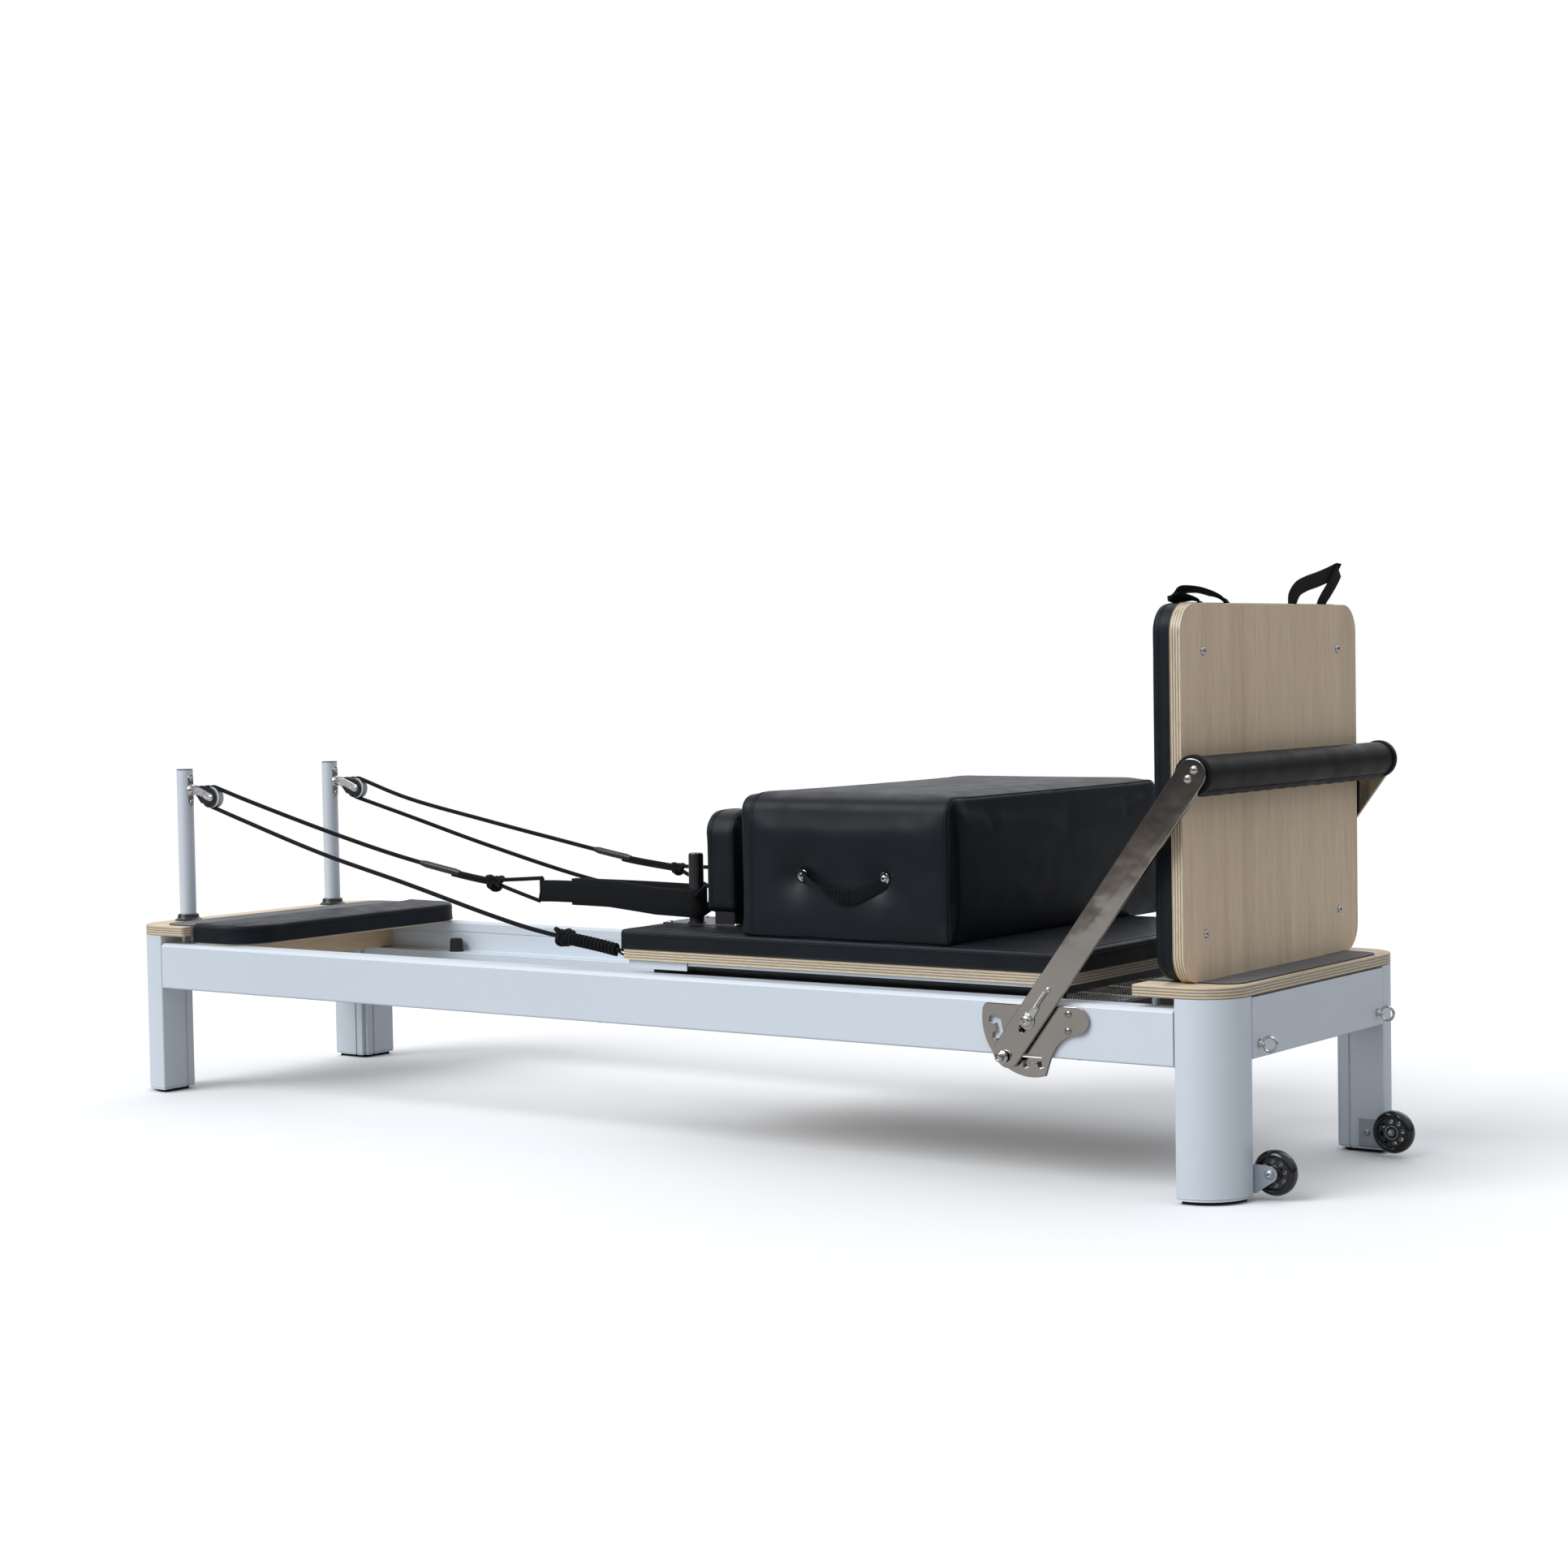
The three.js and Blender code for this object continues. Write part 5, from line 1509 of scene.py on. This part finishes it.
def box_handle(side, face, tree):
    """A webbing handle that hangs between two screws with washers."""
    sign = SIDES[side]
    (x0, x1), z = BOX_SCREWS["x"], BOX_SCREWS["z"]
    seats = [millimetres(tree.find_nearest(metres((x, face, z)))[0]).y for x in (x0, x1)]
    points, across = [], []
    for t in (i / 30 for i in range(31)):
        sag = math.sin(math.pi * t ** 1.22) ** 0.95
        lift = 2.0 + (21.0 if side == "near" else 12.0) * math.sin(math.pi * t) ** 1.1
        seat = seats[0] + (seats[1] - seats[0]) * t
        points.append(Vector((x0 - 9 + (x1 - x0 + 18) * t, seat + sign * lift, z - 31 * sag)))
        lean = 0.9 * math.sin(math.pi * min(1, t * 1.9)) if t < 0.53 else 0.0
        across.append(Vector((0.0, sign * lean, 1.0)))
    shapes = [ribbon(points, across, 26, 2.4)]
    proud = Vector((0, sign * 1.6, 0))
    for p, w in zip(points[11:20], across[11:20]):
        reach = w.normalized() * 12
        shapes.append(tube([p - reach + proud, p + reach + proud], 0.7, 5))
    piece(f"box_handle_{side}", merged(*shapes), "webbing", "sitting_box", angle=50, flat=False)
    axis = "-y" if sign < 0 else "y"
    parts = []
    for x, seat in ((x0, seats[0]), (x1, seats[1])):
        parts.append(washer((x, seat + sign * 3.0, z), axis, 9.5, 4, 1.5))
        parts.append(domed_screw((x, seat + sign * 4.2, z), axis, 6.2))
    piece(f"box_handle_screws_{side}", merged(*parts), "chrome", "sitting_box", angle=45)


# ---------------------------------------------------------------- jump board
BOARD_CORNER = 45


def jump_board():
    """The board with its two tongues, its cushion and the screws through it."""
    low, high = span("jump_board")
    face_low = 328.3
    parts = [prism(rounded(low.y, high.y, face_low, high.z, BOARD_CORNER, 16), low.x, high.x, "x", 1.2)]
    for y in (-TONGUE_Y, TONGUE_Y):
        tongue = rounded(low.x + 0.2, high.x - 0.2, y - 39.5, y + 39.5, 1, 2)
        parts.append(prism(tongue, low.z, face_low + 10, "z", 0.5))
    piece("jump_board_face", edged(merged(*parts), 0), ["wood_z", "ply_x"], "board", ["jump_board"], angle=30)
    pad_low, pad_high = span("jump_board_pad")
    corner = BOARD_CORNER - 1
    pad = slab(pad_low - Vector((2.0, 0, 0)), pad_high + Vector((0, 0, 4.4)), [corner] * 4, (8, 2.5), 16, "x")
    held = cushion("jump_board_cushion", pad, "board", "jump_board_pad", 2.0,
                   lambda co: co.x > pad_high.x - 1)
    outline = rounded(pad_low.y, pad_high.y, pad_low.z, pad_high.z, corner, 12)
    sewn(surface_of(held), ("jump_board_seams", "jump_board_stitches"), "board",
         [(raised(outline, pad_low.x + 10, "x"), 0.9)], [raised(outline, pad_low.x + 13, "x")])
    screws = []
    for y in (-234, 234):
        for z in (400, 829):
            screws.append(domed_screw((high.x - 0.3, y, z), "x", 6.5))
            screws.append(washer((high.x - 0.6, y, z), "x", 8.2, 3, 0.9))
    piece("jump_board_screws", merged(*screws), "chrome", "board", angle=45)


def eased(points, across, step):
    """The width's direction at each point of spline(points, step), eased from one point's to the next's."""
    out = []
    for a, b, v, w in zip(points, points[1:], across, across[1:]):
        count = max(1, round((Vector(b) - Vector(a)).length / step))
        out += [Vector(v).normalized().lerp(Vector(w).normalized(), i / count) for i in range(count)]
    return out + [Vector(across[-1])]


# Each webbing loop on the board: its points as (X from the board's middle plane, Y, height over its top edge)
# and its width's direction at each. The near loop has flopped back, the far one stands.
BOARD_LOOPS = {
    "near": [((0, -208, -26), (0, -1, 0)), ((0, -208.5, -1), (0, -1, 0)), ((-3, -212, 4), (0.6, -0.7, 0)),
             ((-10, -226, 7), (0.8, -0.3, 0.3)), ((-17, -243, 9), (0.7, -0.2, 0.6)),
             ((-21, -252, 13), (0.65, -0.2, 0.7)), ((-19, -245, 18.5), (0.7, -0.2, 0.65)),
             ((-12, -222, 21), (0.85, -0.2, 0.45)), ((-6, -185, 19), (1, -0.2, 0.15)),
             ((-2, -152, 12), (0.9, -0.3, 0)), ((0, -130, 4), (0.6, -0.6, -0.3)), ((0, -121, -3), (0, -1, 0)),
             ((0, -120, -26), (0, -1, 0))],
    "far": [((0, 107, -26), (0, 1, 0)), ((0, 107.5, -1), (0, 1, 0)), ((-0.5, 113, 11), (0.2, 0.9, -0.4)),
            ((-1, 131, 25), (0.1, 0.6, -0.8)), ((-1, 162, 34), (0, 0.3, -1)), ((0, 200, 41), (0, 0.25, -1)),
            ((0, 240, 49), (0, 0.35, -0.95)), ((0, 262, 54), (0, 0.5, -0.86)),
            ((0.5, 275, 57.5), (0, 0.62, -0.78)), ((1.9, 279, 58), (0, 0.64, -0.77)),
            ((3.5, 274, 54.5), (0, 0.64, -0.77)), ((4.5, 256, 40), (0, 0.72, -0.69)),
            ((3.5, 237, 24), (0, 0.8, -0.6)), ((1.5, 220, 9), (0, 0.9, -0.4)), ((0, 212, -1), (0, 1, 0)),
            ((0, 211.5, -26), (0, 1, 0))],
}


def board_handles():
    """Webbing loops over the board's top edge."""
    top = span("jump_board")[1].z
    for side, rows in BOARD_LOOPS.items():
        points = [(1074.5 + x, y, top + z) for (x, y, z), _ in rows]
        across = eased(points, [direction for _, direction in rows], 3)
        piece(f"board_handle_{side}", ribbon(spline(points, 3), across, 25, 1.9), "webbing", "board",
              [f"handle_{side}"], angle=60, flat=False)


# ---------------------------------------------------------------- footbar
PIVOT = (838.5, 264.0)
ELEVATION = 53.1
ARM = {"half": 24, "corner": 20, "tail": 87, "length": 478.4, "y": (-338, -331)}
QUADRANT = {"radius": 89, "y": -327.4, "notches": (182, 203, 234, 262, 284)}


def along_arm(r, off=0.0):
    """A point in X-Z at distance r along the footbar arm from its pivot, and off to its upper side."""
    t = math.radians(ELEVATION)
    return PIVOT[0] + r * math.cos(t) - off * math.sin(t), PIVOT[1] + r * math.sin(t) + off * math.cos(t)


def quadrant_outline():
    """The plate's outline: a disc's lower half that runs through a hollow curve into a rounded lug."""
    px, pz = PIVOT
    radius = QUADRANT["radius"]
    last = math.radians(286)
    anchors = [(radius * math.cos(last), radius * math.sin(last)), (34, -58), (40, -27), (78, -18.4)]
    curve = []
    for t in (i / 14 for i in range(1, 14)):
        weights = ((1 - t) ** 3, 3 * t * (1 - t) ** 2, 3 * t * t * (1 - t), t ** 3)
        curve.append((px + sum(w * a[0] for w, a in zip(weights, anchors)),
                      pz + sum(w * a[1] for w, a in zip(weights, anchors))))
    return ([(px - 79, pz + 24), (px - 84, pz + 21), (px - 88, pz + 14), *arc(px, pz, radius, 177, 286, 40),
             *curve, *arc(px + 80, pz + 3, 21.5, -88, 88, 18)])


def lock_slot():
    """The latch track: an arc with five notches on its outer side."""
    px, pz = PIVOT
    half, track, deep = 5.5, 60, 71
    notches = QUADRANT["notches"]
    first, last = notches[0], notches[-1]
    wide = math.degrees(half / (track + half))
    outline = []
    angle = first
    for notch in notches:
        start = max(first, notch - wide)
        if start > angle:
            outline += arc(px, pz, track + half, angle, start, 6)
        t = math.radians(notch)
        outline += arc(px + deep * math.cos(t), pz + deep * math.sin(t), half, notch - 90, notch + 90, 10)
        angle = min(last, notch + wide)
    return outline + arc(px, pz, track - half, last + 3, first - 3, 24)


def quadrants():
    """The notched plates that the footbar locks into, and its pivots."""
    px, pz = PIVOT
    y0 = QUADRANT["y"]
    parts = [pierced([quadrant_outline(), lock_slot()], y0, y0 + 6.0, "y", 0.8)]
    parts += [domed_screw((x, y0, z), "-y", 5.6) for x, z in ((819.5, 276), (905.5, 277), (904.5, 251))]
    low_edge = span("side_rail_near")[0].z - 1.5
    backing = arc(px, pz, 86, 224, 284, 15)
    backing = [(backing[0][0], low_edge), *backing, (px + 30, low_edge)]
    parts.append(prism(backing, y0 + 6.2, y0 + 8.4, "y", 0.4))
    pair("lock_quadrant", merged(*parts), "steel", "frame", ["quadrant_SIDE"])
    bush = [(0, 0), (10.5, 0), (10.5, 3.0), (6, 3.2), (6, 16), (0, 16)]
    pin = merged(lathe(bush, (px, y0, pz), "-y", 28), domed_screw((px, -341.2, pz), "-y", 10.2),
                 washer((px, -340.4, pz), "-y", 11.6, 5.5, 1.0))
    pair("footbar_pivot", pin, "chrome", "frame", angle=45)


def arm_outline():
    """The arm's outline in X-Z: round at the grip, two rounded corners at its tail."""
    half, corner, tail = ARM["half"], ARM["corner"], ARM["tail"]
    local = (arc(ARM["length"], 0, half, -90, 90, 24) + arc(corner - tail, half - corner, corner, 90, 180, 10)
             + arc(corner - tail, corner - half, corner, 180, 270, 10))
    return [along_arm(r, off) for r, off in local]


def footbar():
    """The footbar's steel arms with their latch knobs and screws, its release and its grip."""
    plate = pierced([arm_outline(), capsule(along_arm(-16), along_arm(0), 6.2, 10)], *ARM["y"], "y", 1.0)
    pair("footbar_side_arm", plate, "steel", "bar", ["footbar_arm_SIDE"])
    x, z = along_arm(-73)
    knob = [(0, 331), (7, 331), (7, 341), (9.6, 341.3), (10, 342.5), (10, 344), (8.2, 344.5), (7.2, 345),
            (7.2, 351.5), (6.2, 354.4), (3.4, 355), (3.0, 352.5), (0, 352.5)]
    parts = [lathe(knob, (x, 0, z), "-y", 28)]
    for r, size in ((487, 6.4), (470, 6.4), (62, 4.6)):
        x, z = along_arm(r)
        parts.append(domed_screw((x, ARM["y"][0], z), "-y", size))
    pair("footbar_arm_fittings", merged(*parts), "chrome", "bar", angle=45)
    release_hub()
    grip()


def release_hub():
    """The steel tab on the pivot, and the small spring that pulls the arm down."""
    ring = [along_arm(r, off) for r, off in arc(0, 0, 13, 28, 328, 25)]
    shape = [along_arm(29, -5), along_arm(31, 0), along_arm(29, 5), *ring]
    hub = pierced([shape, circle(*PIVOT, 6.2, 20)], -340.2, -338.4, "y", 0.4)
    pair("release_tab", hub, "chrome", "bar_hub", ["footbar_hub_SIDE"])
    (x0, z0), (x1, z1) = along_arm(27), along_arm(60)
    path = [Vector((x0 + (x1 - x0) * t / 6, -342.2, z0 + (z1 - z0) * t / 6)) for t in range(7)]
    pair("release_spring", tube(helix(path, 3.0, 13, 12), 0.75, 6), "chrome", "bar", **ROUND)


def grip():
    """The padded grip with its hem, stitches and end rings."""
    low, high = span("footbar_grip")
    x, z, r = (low.x + high.x) / 2, (low.z + high.z) / 2, (high.z - low.z) / 2
    y0, y1 = low.y, high.y
    steps, hem_steps = 40, 60
    body = []
    for i in range(1, steps):
        ripple = 0.22 * math.sin(i * 1.9) * math.sin(i * 0.73)
        body.append((r - 0.35 + ripple, y0 + 6 + (y1 - y0 - 12) * i / steps))
    profile = both_ways([(0, 0), (r - 7, 0), (r - 3, 0.7), (r - 1.0, 2.6), (r - 0.3, 6)], y0, y1, body)
    made = piece("footbar_cushion", lathe(profile, (x, 0, z), "y", 72), "grip_cover", "bar", ["footbar_grip"],
                 angle=60, flat=False)
    t = math.radians(-72)
    hem = []
    for i in range(hem_steps + 1):
        lift = r + 0.9 + 0.9 * math.sin(i * 0.8) ** 2
        y = y0 + 7 + (y1 - y0 - 14) * i / hem_steps
        hem.append((x + lift * math.cos(t), y, z + lift * math.sin(t)))
    flap = ribbon(hem, (math.cos(t - 0.9), 0, math.sin(t - 0.9)), 9, 1.6)
    line = [(x + r * math.cos(t + 0.25), y, z + r * math.sin(t + 0.25)) for y in (y0 + 8, y1 - 8)]
    row = stitches(surface_of(made), line, 5.5, closed=False)
    piece("footbar_hem", flap, "grip_cover", "bar", angle=60, flat=False)
    piece("footbar_stitches", row, "thread", "bar", **ROUND)
    ring = [(r - 8, 0.6), (r + 1.2, 0.6), (r + 2.2, 1.6), (r + 2.4, 9.0), (r + 1.4, 12.0), (r - 1, 12.6),
            (r - 8, 12.6)]
    rings = [lathe(ring, (x, y, z), axis, 64, ring=True) for y, axis in ((y0, "y"), (y1, "-y"))]
    piece("footbar_end_rings", merged(*rings), "grip_cover", "bar", angle=50)


# ---------------------------------------------------------------- scene
camera()
for rope_side in SIDES:
    rope(rope_side)
for build in (studio, legs, rails, decks, head_end, foot_end, transport_wheels, posts, pulleys, carriage,
              shoulder_rests):
    build()
for strap_side in SIDES:
    hand_strap(strap_side)
for build in (springs, sitting_box, jump_board, board_handles, quadrants, footbar):
    build()
